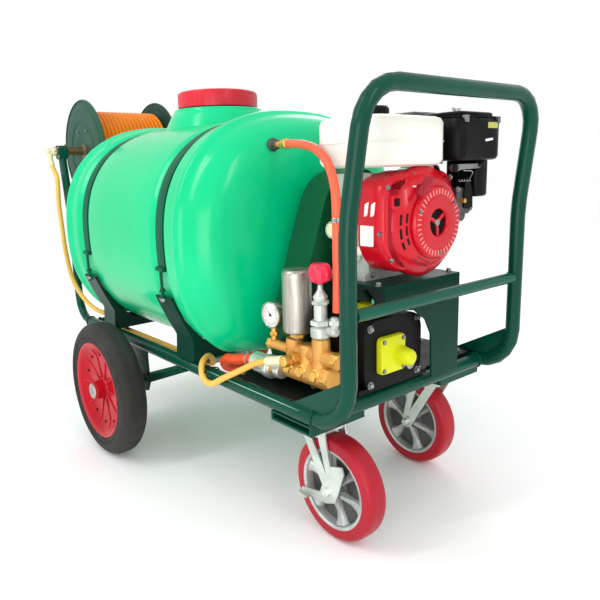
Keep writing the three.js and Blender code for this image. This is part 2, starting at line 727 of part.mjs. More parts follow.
function driveBelt() {
  const inset = BELT.groove - 1;
  const outer = [BELT.engineR + 1, BELT.pumpR + 1];
  const inner = [BELT.engineR - inset, BELT.pumpR - inset];
  return alongX(loopShape(outer, inner, 18), BELT.x - BELT.width / 2 + 1, BELT.x + BELT.width / 2 - 1);
}

function beltGuard() {
  const { xBack, xFront, r, sheet } = GUARD;
  const skin = alongX(loopShape([r, r], null, 12), xBack, xFront);
  const hollow = alongX(loopShape([r - sheet, r - sheet], null, 12), xBack + sheet, xFront - sheet);
  const engineHole = rod(24, xFront - 10, xFront + 10, 'x', 20).translate(0, SHAFT.y, SHAFT.z);
  const pumpHole = rod(30, xFront - 10, xFront + 10, 'x', 20).translate(0, PUMP_SHAFT.y, PUMP_SHAFT.z);
  return cut(skin, hollow, engineHole, pumpHole);
}

function buildDrive() {
  add('engine_pulley', pulley(BELT.engineR, 512).translate(0, SHAFT.y, SHAFT.z), 'cast');
  add('pump_pulley', pulley(BELT.pumpR, 520).translate(0, PUMP_SHAFT.y, PUMP_SHAFT.z), 'cast');
  add('drive_belt', driveBelt(), 'black');
  add('belt_guard', beltGuard(), 'frame');
}

// ---- pump ----
const PUMP_BASE_Z = RAIL_TOP + GAP + 3 + GAP;
const MANIFOLD = { y: -222, suctionZ: 366, pressureZ: 410, gaugeY: -231, xStart: 478 };
const REGULATOR = { x: 586, y: -222 };

function pumpCrankcase() {
  const body = alongX(roundedRectangle(-168, PUMP_BASE_Z + 6, 20, 486, 42), 496, 660);
  const foot = box(510, 650, -175, 56, PUMP_BASE_Z, PUMP_BASE_Z + 12);
  const bore = rod(12, 480, 530, 'x', 16).translate(0, PUMP_SHAFT.y, PUMP_SHAFT.z);
  return cut(join(body, foot), bore);
}

function pumpEndCover() {
  const { y, z } = PUMP_SHAFT;
  const plate = alongX(roundedRectangle(y - 40, z - 42, y + 40, z + 40, 12), 660.4, 674, 0, 3);
  const boss = turned([[0, 670], [21, 670], [18, 700], [14, 706], [0, 706]], 'x', 16).translate(0, y + 24, z - 8);
  return join(plate, boss);
}

// Suction gallery below, pressure gallery above, joined by three valve chambers in front of the plungers.
function pumpManifold() {
  const { y, suctionZ, pressureZ, gaugeY, xStart } = MANIFOLD;
  const suction = rod(26, xStart, 624, 'x', 14).translate(0, y, suctionZ);
  const pressure = rod(17, xStart + 2, 644, 'x', 12).translate(0, y, pressureZ);
  const gaugeArm = rod(11, 420, xStart + 8, 'x', 10).translate(0, gaugeY, pressureZ);
  const chambers = [[500, 436], [543, 430], [REGULATOR.x, 452]]
    .map(([x, topZ]) => rod(20, suctionZ, topZ, 'z', 12).translate(x, y, 0));
  const plungers = [504, 547, 590].map((x) => rod(16, y, -168.5, 'y', 10).translate(x, 0, 390));
  const outlet = rod(10, -282, y, 'y', 10).translate(528, 0, 398);
  return join(suction, pressure, gaugeArm, ...chambers, ...plungers, outlet);
}

const AIR_CHAMBER = { x: 509, y: -220 };
function airChamber() {
  const neck = [[0, 436.4], [12, 436.4], [12, 450]];
  return turned([...neck, [30, 450], [33, 454], [33, 586], [28, 592], [0, 592]], 'z', 24)
    .translate(AIR_CHAMBER.x, AIR_CHAMBER.y, 0);
}

const GAUGE = { x: 438, y: -231, z: 480 };
function pressureGauge() {
  const dial = turned([[0, -12], [31, -12], [32, -8], [32, 10], [26, 13], [0, 13]], 'y', 24)
    .translate(GAUGE.x, GAUGE.y, GAUGE.z);
  const stem = rod(7, 421.4, GAUGE.z, 'z', 10).translate(GAUGE.x, GAUGE.y, 0);
  return join(dial, stem);
}

function regulatorValve() {
  const { x, y } = REGULATOR;
  const body = turned([
    [0, 452.4], [22, 452.4], [22, 478], [14, 478], [14, 536], [16, 540], [5, 556], [5, 568], [0, 568],
  ], 'z', 16).translate(x, y, 0);
  const port = rod(11, 0, 44, 'x', 12).translate(x, y + 6, 470);
  const riser = rod(9, 470, 502, 'z', 12).translate(x + 34, y + 8, 0);
  return join(body, port, riser);
}

function regulatorKnob() {
  return turned([
    [0, 568.4], [10, 568.4], [24, 576], [25, 604], [18, 612], [0, 612],
  ], 'z', 20).translate(REGULATOR.x, REGULATOR.y, 0);
}

function suctionStrainer() {
  return turned([
    [0, 362], [17, 364], [23, 372], [23, 420], [28, 422], [28, 440], [20, 442], [20, 477.6], [0, 477.6],
  ], 'x', 18).translate(0, -238, MANIFOLD.suctionZ - 10);
}

// From the drain under the tank, over the edge of the deck and into the strainer.
function suctionHose() {
  return hoseTube([
    [250, -120, 346.5], [250, -120, 338], [250, -126, 325], [250, -150, 309], [249, -200, 303], [248, -236, 311],
    [254, -250, 328], [272, -253, 341], [300, -252, 346], [330, -245, 352], [348, -239, 355], [361, -238, 356],
  ], 13, 24);
}

function buildPump() {
  add('pump_crankcase', pumpCrankcase(), 'black');
  add('pump_end_cover', pumpEndCover(), 'yellow');
  add('pump_manifold', pumpManifold(), 'brass');
  add('air_chamber', airChamber(), 'steel');
  add('pressure_gauge', pressureGauge(), 'steel');
  add('regulator_valve', regulatorValve(), 'cast');
  add('regulator_knob', regulatorKnob(), 'lid');
  add('suction_strainer', suctionStrainer(), 'zinc');
  add('suction_hose', suctionHose(), 'orange');
}

// ---- road wheels ----
function roadRim() {
  const half = WHEEL.width / 2;
  const bore = AXLE_R + 0.8;
  return turned([
    [bore, -44], [24, -44], [24, -10], [112, -20], [130, -half + 9], [WHEEL.rimR - 1, -half + 9],
    [WHEEL.rimR - 1, half - 9], [130, half - 9], [116, -12], [24, 0], [24, 44], [bore, 44], [bore, -44],
  ], 'y', 30);
}

function roadTyre() {
  const { rimR, tyreR, width } = WHEEL;
  const half = width / 2;
  const near = [[tyreR, 13], [tyreR - 9, 29], [tyreR - 28, half], [rimR, half - 4]];
  const far = near.map(([r, h]) => [r, -h]).reverse();
  return turned([...near, ...far, near[0]], 'y', 32);
}

function buildWheels() {
  SIDES.forEach(([name, side]) => {
    const wheel = new THREE.Group();
    wheel.position.set(WHEEL.x, side * WHEEL.y, WHEEL.z);
    cart.add(wheel);
    const rim = add(`road_rim_${name}`, roadRim().scale(1, -side, 1), 'red', wheel);
    rim.rotation.y = rad(90);
    add(`road_tyre_${name}`, roadTyre(), 'tyre', wheel);
  });
}

// ---- swivel casters ----
// Drawn with the kingpin on the Z axis and the wheel trailing towards +X.
const FORK = { top: 262, crownBase: 242, legIn: 28.5, legOut: 33 };

function casterLeg(side) {
  const { trail, wheelR } = CASTER;
  const outline = polygon([
    [-38, FORK.crownBase + 11], [46, FORK.crownBase + 11], [trail + 16, wheelR + 8], [trail + 12, wheelR - 12],
    [trail, wheelR - 18], [trail - 13, wheelR - 13], [trail - 18, wheelR],
  ]);
  const windowTop = FORK.crownBase - 12;
  outline.holes.push(new THREE.Path([V2(2, windowTop), V2(28, windowTop), V2(trail - 8, wheelR + 34)]));
  const leg = alongY(outline, FORK.legIn, FORK.legOut);
  return leg.scale(1, side, 1);
}

function casterFork() {
  const { trail, wheelR } = CASTER;
  const crownTop = FORK.crownBase + 11;
  const crown = box(-38, 46, -FORK.legOut, FORK.legOut, FORK.crownBase, crownTop);
  const race = turned([
    [0, crownTop - 2], [38, crownTop - 2], [42, crownTop + 2], [42, FORK.top - 3], [37, FORK.top], [0, FORK.top],
  ], 'z', 24);
  const bolt = rod(8, -40, 36, 'y', 12).translate(trail, 0, wheelR);
  return join(crown, race, casterLeg(-1), casterLeg(1), bolt);
}

function casterWheel() {
  const { wheelR, rimR, width } = CASTER;
  const half = width / 2;
  const bore = 8.8;
  return turned([
    [bore, -27], [22, -27], [24, -9], [rimR - 6, -8], [rimR, -half], [wheelR - 6, -half], [wheelR, -half + 10],
    [wheelR, half - 10], [wheelR - 6, half], [rimR, half], [rimR - 6, 8], [24, 9], [22, 27], [bore, 27], [bore, -27],
  ], 'y', 32);
}

function brakePedal() {
  const outline = polygon([
    [-84, -34], [-84, -22], [-24, -10], [-14, 14], [6, 40], [10, 62], [44, 72], [50, 56], [24, -18], [-4, -30],
  ]);
  outline.holes.push(new THREE.Path(circle(8.8, 12).getPoints()));
  const plate = alongY(outline, -38, -34);
  const tread = box(-84, -54, -52, -34.2, -34, -29);
  return join(plate, tread);
}

function buildCasters() {
  SIDES.forEach(([name, side]) => {
    const caster = new THREE.Group();
    caster.position.set(CASTER.x, side * CASTER.y, 0);
    caster.rotation.z = side > 0 ? Math.PI : 0;
    cart.add(caster);
    add(`caster_fork_${name}`, casterFork(), 'zinc', caster);
    const wheel = add(`caster_wheel_${name}`, casterWheel(), 'tread', caster);
    wheel.position.set(CASTER.trail, 0, CASTER.wheelR);
    if (side < 0) {
      const pedal = add('caster_brake_pedal', brakePedal(), 'zinc', caster);
      pedal.position.set(CASTER.trail, 0, CASTER.wheelR);
    }
  });
}

buildFrame();
buildTank();
buildReel();
buildEngine();
buildDrive();
buildPump();
buildWheels();
buildCasters();

export default cart;
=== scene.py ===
"""Wheeled sprayer cart: the finished look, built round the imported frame.

Lengths are datum millimetres, as in the CAD part: +X towards the handle, +Z up. The frame
stands DATUM_X further along X, and Shape.piece() turns everything into metres there.
"""
from math import cos, exp, log1p, pi, radians, sin, sqrt, tau

import bmesh
import bpy
from mathutils import Matrix, Vector
from mathutils.geometry import tessellate_polygon


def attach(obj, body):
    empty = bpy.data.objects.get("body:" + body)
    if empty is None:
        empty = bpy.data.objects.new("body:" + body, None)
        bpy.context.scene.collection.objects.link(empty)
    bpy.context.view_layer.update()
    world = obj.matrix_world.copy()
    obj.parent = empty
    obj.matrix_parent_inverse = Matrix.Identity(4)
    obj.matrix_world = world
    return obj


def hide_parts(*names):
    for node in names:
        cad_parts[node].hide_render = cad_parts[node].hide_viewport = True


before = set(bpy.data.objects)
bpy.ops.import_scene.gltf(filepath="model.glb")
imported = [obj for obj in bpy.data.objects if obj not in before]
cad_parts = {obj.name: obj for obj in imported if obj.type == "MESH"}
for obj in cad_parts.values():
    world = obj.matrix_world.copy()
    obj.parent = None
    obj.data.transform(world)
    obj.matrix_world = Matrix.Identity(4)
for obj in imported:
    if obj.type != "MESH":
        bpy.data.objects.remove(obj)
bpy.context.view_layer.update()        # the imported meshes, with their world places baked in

DATUM_X = 56.5
SIDES = (("left", -1), ("right", 1))
TUBE_R = 17
RAIL_Y, RAIL_Z = 287, 303
DECK_Z = 323.4
REEL = Vector((-715, 0, 888))
REEL_LEFT, REEL_RIGHT = -178, 112
WHEEL = Vector((-141, 403, 193))
CASTER_X, CASTER_Y, CASTER_TRAIL, CASTER_R = 560, 205, 60, 118
TANK_X, TANK_Z, TANK_A, TANK_B, TANK_POWER, TANK_FLOOR = -93, 624, 350, 311, 2.4, 348
STRAP_X = 236
NECK_X = -95
SHAFT = Vector((0, 10, 684))
PUMP_SHAFT = Vector((0, -90, 407))


# ---- camera, at the photograph's viewing angle ----
def make_camera():
    azimuth, elevation, roll = (radians(v) for v in (50.8, 11.4, -1.7))
    forward = Vector((-sin(azimuth) * cos(elevation), cos(azimuth) * cos(elevation), -sin(elevation)))
    level = forward.cross(Vector((0, 0, 1))).normalized()
    upright = level.cross(forward)
    right = level * cos(roll) + upright * sin(roll)
    up = upright * cos(roll) - level * sin(roll)
    data = bpy.data.cameras.new("camera")
    data.lens, data.sensor_width = 36.46, 36
    data.shift_x, data.shift_y = 0.026, -0.016
    camera = bpy.data.objects.new("camera", data)
    turn = Matrix((right, up, -forward)).transposed().to_4x4()
    camera.matrix_world = Matrix.Translation((1.5584, -1.0650, 0.8074)) @ turn
    bpy.context.scene.collection.objects.link(camera)
    bpy.context.scene.camera = camera


make_camera()


# ---- materials ----
def linear(rgb):
    """0 to 255 display values as scene-linear RGBA."""
    return [((v / 255 + 0.055) / 1.055) ** 2.4 if v > 10 else v / 255 / 12.92 for v in rgb] + [1.0]


LOOKS = {}


class Look:
    """A procedural material: a Principled shader fed by noises in object space."""

    def __init__(self, name, rgb, rough, metallic=0.0, coat=0.0, specular=0.5):
        self.material = bpy.data.materials.new(name)
        self.material.use_nodes = True
        tree = self.material.node_tree
        self.nodes, self.links = tree.nodes, tree.links
        self.shader = self.nodes["Principled BSDF"]
        self.place = self.nodes.new("ShaderNodeTexCoord").outputs["Object"]
        self.colour = None
        self.rgb, self.rough = rgb, rough
        self.set("Metallic", metallic)
        self.set("Coat Weight", coat)
        self.set("Coat Roughness", 0.08)
        self.set("Specular IOR Level", specular)
        LOOKS[name] = self.material

    def set(self, socket, value):
        self.shader.inputs[socket].default_value = value

    def noise(self, scale, detail=3.0, stretch=(1, 1, 1)):
        mapping = self.nodes.new("ShaderNodeMapping")
        mapping.inputs["Scale"].default_value = stretch
        self.links.new(self.place, mapping.inputs["Vector"])
        noise = self.nodes.new("ShaderNodeTexNoise")
        noise.inputs["Scale"].default_value = scale
        noise.inputs["Detail"].default_value = detail
        self.links.new(mapping.outputs["Vector"], noise.inputs["Vector"])
        return noise.outputs["Fac"]

    def ranged(self, value, low, high, to_low=0.0, to_high=1.0):
        node = self.nodes.new("ShaderNodeMapRange")
        for socket, number in zip(("From Min", "From Max", "To Min", "To Max"),
                                  (low, high, to_low, to_high)):
            node.inputs[socket].default_value = number
        self.links.new(value, node.inputs["Value"])
        return node.outputs["Result"]

    def mixed(self, factor, under, over):
        node = self.nodes.new("ShaderNodeMix")
        node.data_type = "RGBA"
        self.links.new(factor, node.inputs["Factor"])
        for socket, colour in ((node.inputs[6], under), (node.inputs[7], over)):
            if isinstance(colour, bpy.types.NodeSocket):
                self.links.new(colour, socket)
            else:
                socket.default_value = linear(colour)
        return node.outputs[2]

    def tinted(self, dark, light, scale=4.0, stretch=(1, 1, 1)):
        """The base colour drifts between two shades."""
        factor = self.ranged(self.noise(scale, 4.0, stretch), 0.35, 0.65)
        self.colour = self.mixed(factor, dark, light)
        return self

    def flecked(self, rgb, scale, amount, stretch=(1, 1, 1)):
        """Specks, chips or dust of another colour over the base."""
        edge = 0.72 - 0.22 * amount
        factor = self.ranged(self.noise(scale, 6.0, stretch), edge, edge + 0.08, 0.0,
                             min(1.0, 0.35 + amount))
        self.colour = self.mixed(factor, self.colour, rgb)
        return self

    def grained(self, scale, depth, stretch=(1, 1, 1), spread=0.08):
        """Fine bump, with the gloss drifting a little over the surface."""
        bump = self.nodes.new("ShaderNodeBump")
        bump.inputs["Strength"].default_value = 1.0
        bump.inputs["Distance"].default_value = depth / 1000
        self.links.new(self.noise(scale, 3.0, stretch), bump.inputs["Height"])
        self.links.new(bump.outputs["Normal"], self.shader.inputs["Normal"])
        gloss = self.ranged(self.noise(28.0, 4.0), 0.3, 0.7, self.rough - spread, self.rough + spread)
        self.links.new(gloss, self.shader.inputs["Roughness"])
        self.links.new(self.colour, self.shader.inputs["Base Color"])


def shades(rgb, spread=0.07):
    return [max(0, v * (1 - spread)) for v in rgb], [min(255, v * (1 + spread)) for v in rgb]


def enamel(name, rgb, rough=0.3, coat=0.06, specular=0.2, chips=None):
    look = Look(name, rgb, rough, coat=coat, specular=specular).tinted(*shades(rgb), scale=3.0)
    look.flecked(chips or [v * 0.6 for v in rgb], 90.0, 0.1)
    look.grained(300.0, 0.012, spread=0.05)


def moulded(name, rgb, rough=0.4, grain=700.0, depth=0.03, glow=0.0, spread=0.05, specular=0.4):
    look = Look(name, rgb, rough, specular=specular).tinted(*shades(rgb, spread), scale=5.0)
    look.flecked([v * 0.82 for v in rgb], 160.0, 0.1)
    look.set("Subsurface Weight", glow)
    look.set("Subsurface Scale", 0.01)
    look.grained(grain, depth)


def cast_metal(name, rgb, rough=0.48, grain=420.0, depth=0.08, metallic=0.8):
    look = Look(name, rgb, rough, metallic).tinted(*shades(rgb, 0.1), scale=12.0)
    look.flecked([v * 0.55 for v in rgb], 55.0, 0.16)
    look.grained(grain, depth)


def bright_metal(name, rgb, rough=0.22, stretch=(12, 12, 1), metallic=1.0):
    look = Look(name, rgb, rough, metallic).tinted(*shades(rgb, 0.08), scale=14.0, stretch=stretch)
    look.flecked([v * 0.7 for v in rgb], 120.0, 0.1, stretch)
    look.grained(160.0, 0.004, stretch, 0.04)


def rubber(name, rgb, rough=0.72, dust=(120, 116, 104)):
    look = Look(name, rgb, rough, specular=0.35).tinted(*shades(rgb, 0.14), scale=9.0)
    look.flecked(dust, 34.0, 0.14)
    look.grained(900.0, 0.16)


def make_looks():
    """Each look's name, colour and roughness; an enamel's clear coat and specular level follow."""
    enamel("frame_green", (4, 68, 53), 0.24, 0.05, 0.16)
    # A darker, duller copy of the frame paint for the engine pedestal and tank saddles: painted shade for
    # parts that sit in shade.
    enamel("bracket_shaded_green", (4, 54, 42), 0.36, 0.0, 0.12)
    enamel("tube_green", (6, 84, 68), 0.24, 0.05, 0.18)
    enamel("guard_green", (14, 84, 52), 0.36, 0.06, 0.12)
    enamel("reel_green", (40, 78, 64), 0.4, 0.0, 0.1)
    enamel("deck_black", (10, 20, 17), 0.5, 0.0, 0.1)
    enamel("engine_red", (196, 10, 32), 0.24, 0.15, 0.3)
    enamel("rim_red", (178, 8, 28), 0.3, 0.06, 0.16)
    enamel("pump_yellow", (218, 224, 20))
    enamel("pump_black", (9, 9, 9), 0.5, 0.0, 0.15)
    enamel("fuel_white", (230, 229, 220), 0.24, chips=(206, 200, 186))
    Look("tank_green", (0, 200, 134), 0.22, specular=0.28).tinted((0, 192, 124), (0, 206, 142),
                                                                  2.0).grained(110.0, 0.006, spread=0.05)
    enamel("strap_green", (16, 84, 62), 0.4, 0.0, 0.1)
    moulded("lid_red", (206, 26, 46), 0.3, glow=0.04)
    moulded("knob_red", (222, 40, 72), 0.32, glow=0.04)
    moulded("plastic_black", (9, 9, 10), 0.4, specular=0.15)
    moulded("plastic_beige", (226, 214, 176), 0.4)
    moulded("plastic_white", (236, 236, 230), 0.35)
    # White for the shroud labels, and for a painted highlight on the air cleaner's front.
    moulded("label_white", (246, 246, 244), 0.3, grain=1200.0, depth=0.01)
    moulded("label_lime", (196, 196, 96), 0.35, grain=1200.0, depth=0.01)
    moulded("hose_yellow", (234, 180, 80), 0.4, grain=600.0, glow=0.1)
    moulded("hose_orange", (226, 124, 4), 0.42, specular=0.2, grain=600.0, glow=0.08)
    moulded("hose_red", (228, 92, 62), 0.34, grain=600.0, glow=0.1)
    moulded("hose_suction", (226, 76, 28), 0.38, grain=600.0, glow=0.08)
    cast_metal("cast_aluminium", (196, 200, 194))
    # Dark cast metal for the fan, carburettor, muffler and return port; on the caster wheels it is painted
    # shade in the recessed web between the spokes.
    cast_metal("cast_dark", (92, 94, 92), 0.5)
    cast_metal("cast_brass", (214, 158, 80), 0.46, metallic=0.55)
    bright_metal("brass", (226, 180, 92), 0.34, metallic=0.8)
    bright_metal("bronze", (112, 92, 66), 0.44, metallic=0.7)
    bright_metal("zinc", (206, 214, 206), 0.36, stretch=(1, 1, 1), metallic=0.75)
    bright_metal("steel", (190, 188, 182), 0.3)
    bright_metal("polished", (178, 174, 164), 0.4)
    bright_metal("bolt_steel", (150, 152, 150), 0.34, stretch=(1, 1, 1))
    cast_metal("rim_metal", (188, 190, 188), 0.42, metallic=0.7)
    rubber("tyre_grey", (40, 40, 37))
    rubber("belt_black", (24, 24, 24), 0.8)
    rubber("shadow_black", (10, 10, 10), 0.9, dust=(24, 24, 24))
    moulded("tread_red", (166, 26, 42), 0.34, grain=500.0, specular=0.25)
    # Pale mint for a painted highlight: the light's reflection along the near rail, drawn as a thin streak.
    enamel("edge_mint", (150, 190, 172))
    enamel("plate_red", (128, 36, 40), 0.35)
    enamel("grip_red", (150, 24, 40), 0.35)
    enamel("tick_pale", (240, 160, 150))
    # A lighter copy of the rim paint for the rim's lip and ribs: a painted highlight on their raised edges.
    enamel("rim_lip", (192, 48, 58), 0.34, 0.06, 0.16)
    Look("floor_white", (255, 255, 255), 0.8, specular=0.05).tinted((254, 254, 254),
                                                                    (255, 255, 255)).grained(60.0, 0.001)
    moulded("dial_white", (240, 240, 234), 0.3, grain=1200.0, depth=0.01)


make_looks()


# ---- geometry helpers ----
def on_axis(axis, along, a, b):
    """A point some way along an axis, with a and b on the other two in alphabetical order."""
    return Vector({"x": (along, a, b), "y": (a, along, b), "z": (a, b, along)}[axis])


def circle(radius, count):
    return [(radius * cos(tau * i / count), radius * sin(tau * i / count)) for i in range(count)]


def spun(at, axis, turn):
    """The place at a point, turned about an axis."""
    return Matrix.Translation(at) @ Matrix.Rotation(turn, 4, axis)


def flanked(profile, side):
    """A profile with its distances on the given side."""
    return [(r, side * h) for r, h in profile]


def rounded(points, radius, steps=4, closed=False):
    """The polyline with a curve in place of each corner."""
    points = [Vector(p) for p in points]
    path = []
    for i, corner in enumerate(points):
        if not closed and i in (0, len(points) - 1):
            path.append(corner)
            continue
        before = points[i - 1] - corner
        after = points[(i + 1) % len(points)] - corner
        start = corner + before * min(radius / before.length, 0.48)
        end = corner + after * min(radius / after.length, 0.48)
        for k in range(steps + 1):
            t = k / steps
            path.append(start * (1 - t) ** 2 + corner * (2 * t * (1 - t)) + end * t ** 2)
    return path


def smooth_path(points, steps=6):
    """A centripetal curve through the points."""
    points = [Vector(p) for p in points]
    ends = [points[0] * 2 - points[1], *points, points[-1] * 2 - points[-2]]
    path = []
    for p0, p1, p2, p3 in zip(ends, ends[1:], ends[2:], ends[3:]):
        d0, d1, d2 = (sqrt((b - a).length) for a, b in ((p0, p1), (p1, p2), (p2, p3)))
        leave = p2 - p1 + ((p1 - p0) / d0 - (p2 - p0) / (d0 + d1)) * d1
        arrive = p2 - p1 + ((p3 - p2) / d2 - (p3 - p1) / (d1 + d2)) * d1
        for k in range(steps):
            t = k / steps
            path.append(p1 * (2 * t ** 3 - 3 * t ** 2 + 1) + leave * (t ** 3 - 2 * t ** 2 + t)
                        + p2 * (3 * t ** 2 - 2 * t ** 3) + arrive * (t ** 3 - t ** 2))
    path.append(points[-1])
    return path


def rectangle(a0, b0, a1, b1, radius, steps=5):
    return rounded([(a0, b0), (a1, b0), (a1, b1), (a0, b1)], radius, steps, closed=True)


class Shape:
    """One piece in the making: solids in datum millimetres, in its own look unless another is named."""

    def __init__(self, look=None):
        self.look = look
        self.points, self.faces, self.looks = [], [], []
        self.place = Matrix.Identity(4)

    def around(self, count, at, axis, start=0.0):
        """Steps the place round an axis, then puts it back."""
        for i in range(count):
            self.place = spun(at, axis, tau * (i + start) / count)
            yield i
        self.place = Matrix.Identity(4)

    def add(self, points, faces, look=None):
        base = len(self.points)
        self.points += [self.place @ Vector(p) for p in points]
        self.faces += [[base + i for i in face] for face in faces]
        self.looks += [look or self.look] * len(faces)

    def loft(self, rings, look=None, closed=False, caps=(True, True)):
        """Skins a row of rings of equally many points."""
        count = len(rings[0])
        last = (len(rings) - 1) * count
        faces = []
        for i in range(len(rings) if closed else len(rings) - 1):
            a = i * count
            b = (i + 1) % len(rings) * count
            faces += [[a + k, a + (k + 1) % count, b + (k + 1) % count, b + k] for k in range(count)]
        if caps[0] and not closed:
            faces.append(list(range(count)))
        if caps[1] and not closed:
            faces.append([last + k for k in range(count)])
        self.add([p for ring in rings for p in ring], faces, look)

    def tube(self, path, radius, sides=16, look=None, closed=False):
        """A round tube; the radius is one number, or one for each point of the path."""
        path = [Vector(p) for p in path]
        count = len(path)
        radii = radius if isinstance(radius, list) else [radius] * count
        side = (path[1] - path[0]).orthogonal().normalized()
        rings = []
        for i, p in enumerate(path):
            before = path[i - 1] if closed or i else p
            after = path[(i + 1) % count] if closed or i < count - 1 else p
            heading = (after - before).normalized()
            side = (side - heading * side.dot(heading)).normalized()
            up = heading.cross(side)
            rings.append([p + side * a + up * b for a, b in circle(radii[i], sides)])
        self.loft(rings, look, closed)

    def lathe(self, profile, axis, at, sides=48, look=None, closed=False):
        """A turned solid; the profile lists radius and distance along the axis."""
        at = Vector(at)
        rings = [[at + on_axis(axis, h, a, b) for a, b in circle(max(r, 0), sides)] for r, h in profile]
        self.loft(rings, look, closed, (profile[0][0] > 0, profile[-1][0] > 0))

    def turned(self, profile, bend, axis, at, sides=48, look=None, closed=False):
        """A turned solid whose corners are bent to a radius in a number of steps."""
        self.lathe(rounded(profile, *bend), axis, at, sides, look, closed)

    def wire(self, points, radius, sides=10, look=None):
        """A thin tube along a smooth curve."""
        self.tube(smooth_path(points, 6), radius, sides, look)

    def prism(self, outline, axis, low, high, look=None, holes=()):
        """A flat outline in the other two axes, made thick along one."""
        loops = [[Vector((p[0], p[1], 0)) for p in loop] for loop in (outline, *holes)]
        flat = [p for loop in loops for p in loop]
        count = len(flat)
        points = [on_axis(axis, h, p.x, p.y) for h in (low, high) for p in flat]
        if holes:
            caps = [list(t) for t in tessellate_polygon(loops)]
        else:
            caps = [list(range(count))]
        faces = caps + [[count + i for i in face] for face in caps]
        start = 0
        for loop in loops:
            n = len(loop)
            faces += [[start + k, start + (k + 1) % n, count + start + (k + 1) % n, count + start + k]
                      for k in range(n)]
            start += n
        self.add(points, faces, look)

    def plate(self, sides, axis, low, high, look=None):
        """A prism over a rectangle with round corners."""
        self.prism(rectangle(*sides), axis, low, high, look)

    def block(self, low, high, look=None):
        (x0, y0, z0), (x1, y1, z1) = low, high
        self.prism([(x0, y0), (x1, y0), (x1, y1), (x0, y1)], "z", z0, z1, look)

    def disc(self, at, axis, radius, low, high, sides=48, look=None):
        self.lathe([(0, low), (radius, low), (radius, high), (0, high)], axis, at, sides, look)

    def arc(self, at, inner, outer, start, end, look=None, lift=0.7):
        """A thin band on a turned face that looks along X; inner and outer are (radius, x)."""
        rings = []
        for i in range(13):
            t = radians(start + (end - start) * i / 12)
            rings.append([Vector((x + raise_, at.y + r * cos(t), at.z + r * sin(t))) for (r, x),
                          raise_ in ((inner, -1), (inner, lift), (outer, lift), (outer, -1))])
        self.loft(rings, look)

    def bolt(self, at, axis, size, out=1, look="bolt_steel"):
        """A hexagon head on a washer, standing out along the axis."""
        r = size / 2
        at = Vector(at)
        washer, top = out * size * 0.12, out * size * 0.62
        self.lathe([(0, 0), (r * 1.4, 0), (r * 1.4, washer), (0, washer)], axis, at, 20, look)
        head = [(r, washer), (r, top * 0.85), (r * 0.84, top), (r * 0.45, top), (r * 0.4, top * 0.92)]
        self.lathe(head, axis, at, 6, look)

    def collar(self, at, axis, radius, low, high, look=None):
        """A hexagon with its corners taken off."""
        self.lathe([(radius * 0.9, low), (radius, low + 1.5), (radius, high - 1.5), (radius * 0.9, high)],
                   axis, at, 6, look)

    def weld(self, at, axis, radius, look="frame_green", width=2.6):
        """A rippled bead round a joint."""
        path = [Vector(at) + on_axis(axis, 0, a, b) for a, b in circle(radius, 60)]
        self.tube(path, [width * (1 + 0.16 * sin(i * 1.9)) for i in range(60)], 8, look, True)

    def piece(self, name, replaces=(), body="cart", bevel=0.0, crease=35):
        """Makes the object, in metres, riding on a body."""
        mesh = bpy.data.meshes.new(name)
        mesh.from_pydata([((p.x + DATUM_X) / 1000, p.y / 1000, p.z / 1000) for p in self.points], [],
                         self.faces)
        used = sorted(set(self.looks))
        for look in used:
            mesh.materials.append(LOOKS[look])
        for polygon, look in zip(mesh.polygons, self.looks):
            polygon.material_index = used.index(look)
        work = bmesh.new()
        work.from_mesh(mesh)
        bmesh.ops.remove_doubles(work, verts=work.verts, dist=2e-6)
        bmesh.ops.dissolve_degenerate(work, edges=work.edges, dist=1e-7)
        bmesh.ops.recalc_face_normals(work, faces=work.faces)
        work.to_mesh(mesh)
        work.free()
        mesh.shade_smooth()
        obj = bpy.data.objects.new(name, mesh)
        bpy.context.scene.collection.objects.link(obj)
        if bevel:
            soften(obj, bevel, crease)
        else:
            mesh.set_sharp_from_angle(angle=radians(crease))
        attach(obj, body)
        if replaces:
            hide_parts(*replaces)
        return obj


def soften(obj, width, crease=35):
    """Small round edges, which catch the light."""
    bevel = obj.modifiers.new("edges", "BEVEL")
    bevel.width = width / 1000
    bevel.segments = 2
    bevel.limit_method = "ANGLE"
    bevel.angle_limit = radians(crease)
    bevel.harden_normals = True


# ---- hoses: the routes of the CAD part ----
DELIVERY_ROUTE = [
    (-715, -304, 854), (-712, -304, 845), (-694, -304, 826), (-664, -306, 795), (-662, -309, 700),
    (-640, -314, 630), (-616, -318, 541), (-573, -319, 452), (-500, -314, 394), (-440, -300, 362),
    (-408, -274, 344), (-391, -254, 322), (-374, -249, 309), (-340, -246, 305), (-230, -244, 304),
    (-40, -244, 304), (120, -244, 305), (176, -244, 305), (190, -246, 309), (204, -255, 327),
    (214, -273, 340), (230, -300, 335), (248, -316, 316), (268, -320, 300), (296, -319, 298),
    (340, -310, 322), (392, -300, 350), (440, -288, 376), (486, -276, 392), (517, -272, 398),
]
RETURN_ROUTE = [
    (384, -142, 862), (430, -153, 860), (490, -172, 855), (540, -184, 843), (582, -193, 818),
    (608, -198, 770), (616, -201, 700), (618, -203, 620), (620, -205, 560), (618, -205, 510),
]
SUCTION_ROUTE = [
    (250, -120, 346.5), (250, -120, 338), (250, -126, 325), (250, -150, 309), (249, -200, 303),
    (248, -236, 311), (254, -250, 328), (272, -253, 341), (300, -252, 346), (330, -245, 352),
    (348, -239, 355), (361, -238, 356),
]


def hose(name, route, radius, look, sides=20):
    shape = Shape(look)
    shape.tube(smooth_path(route, 8), radius, sides)
    return shape.piece(name + "_tube", [name + "_hose"])


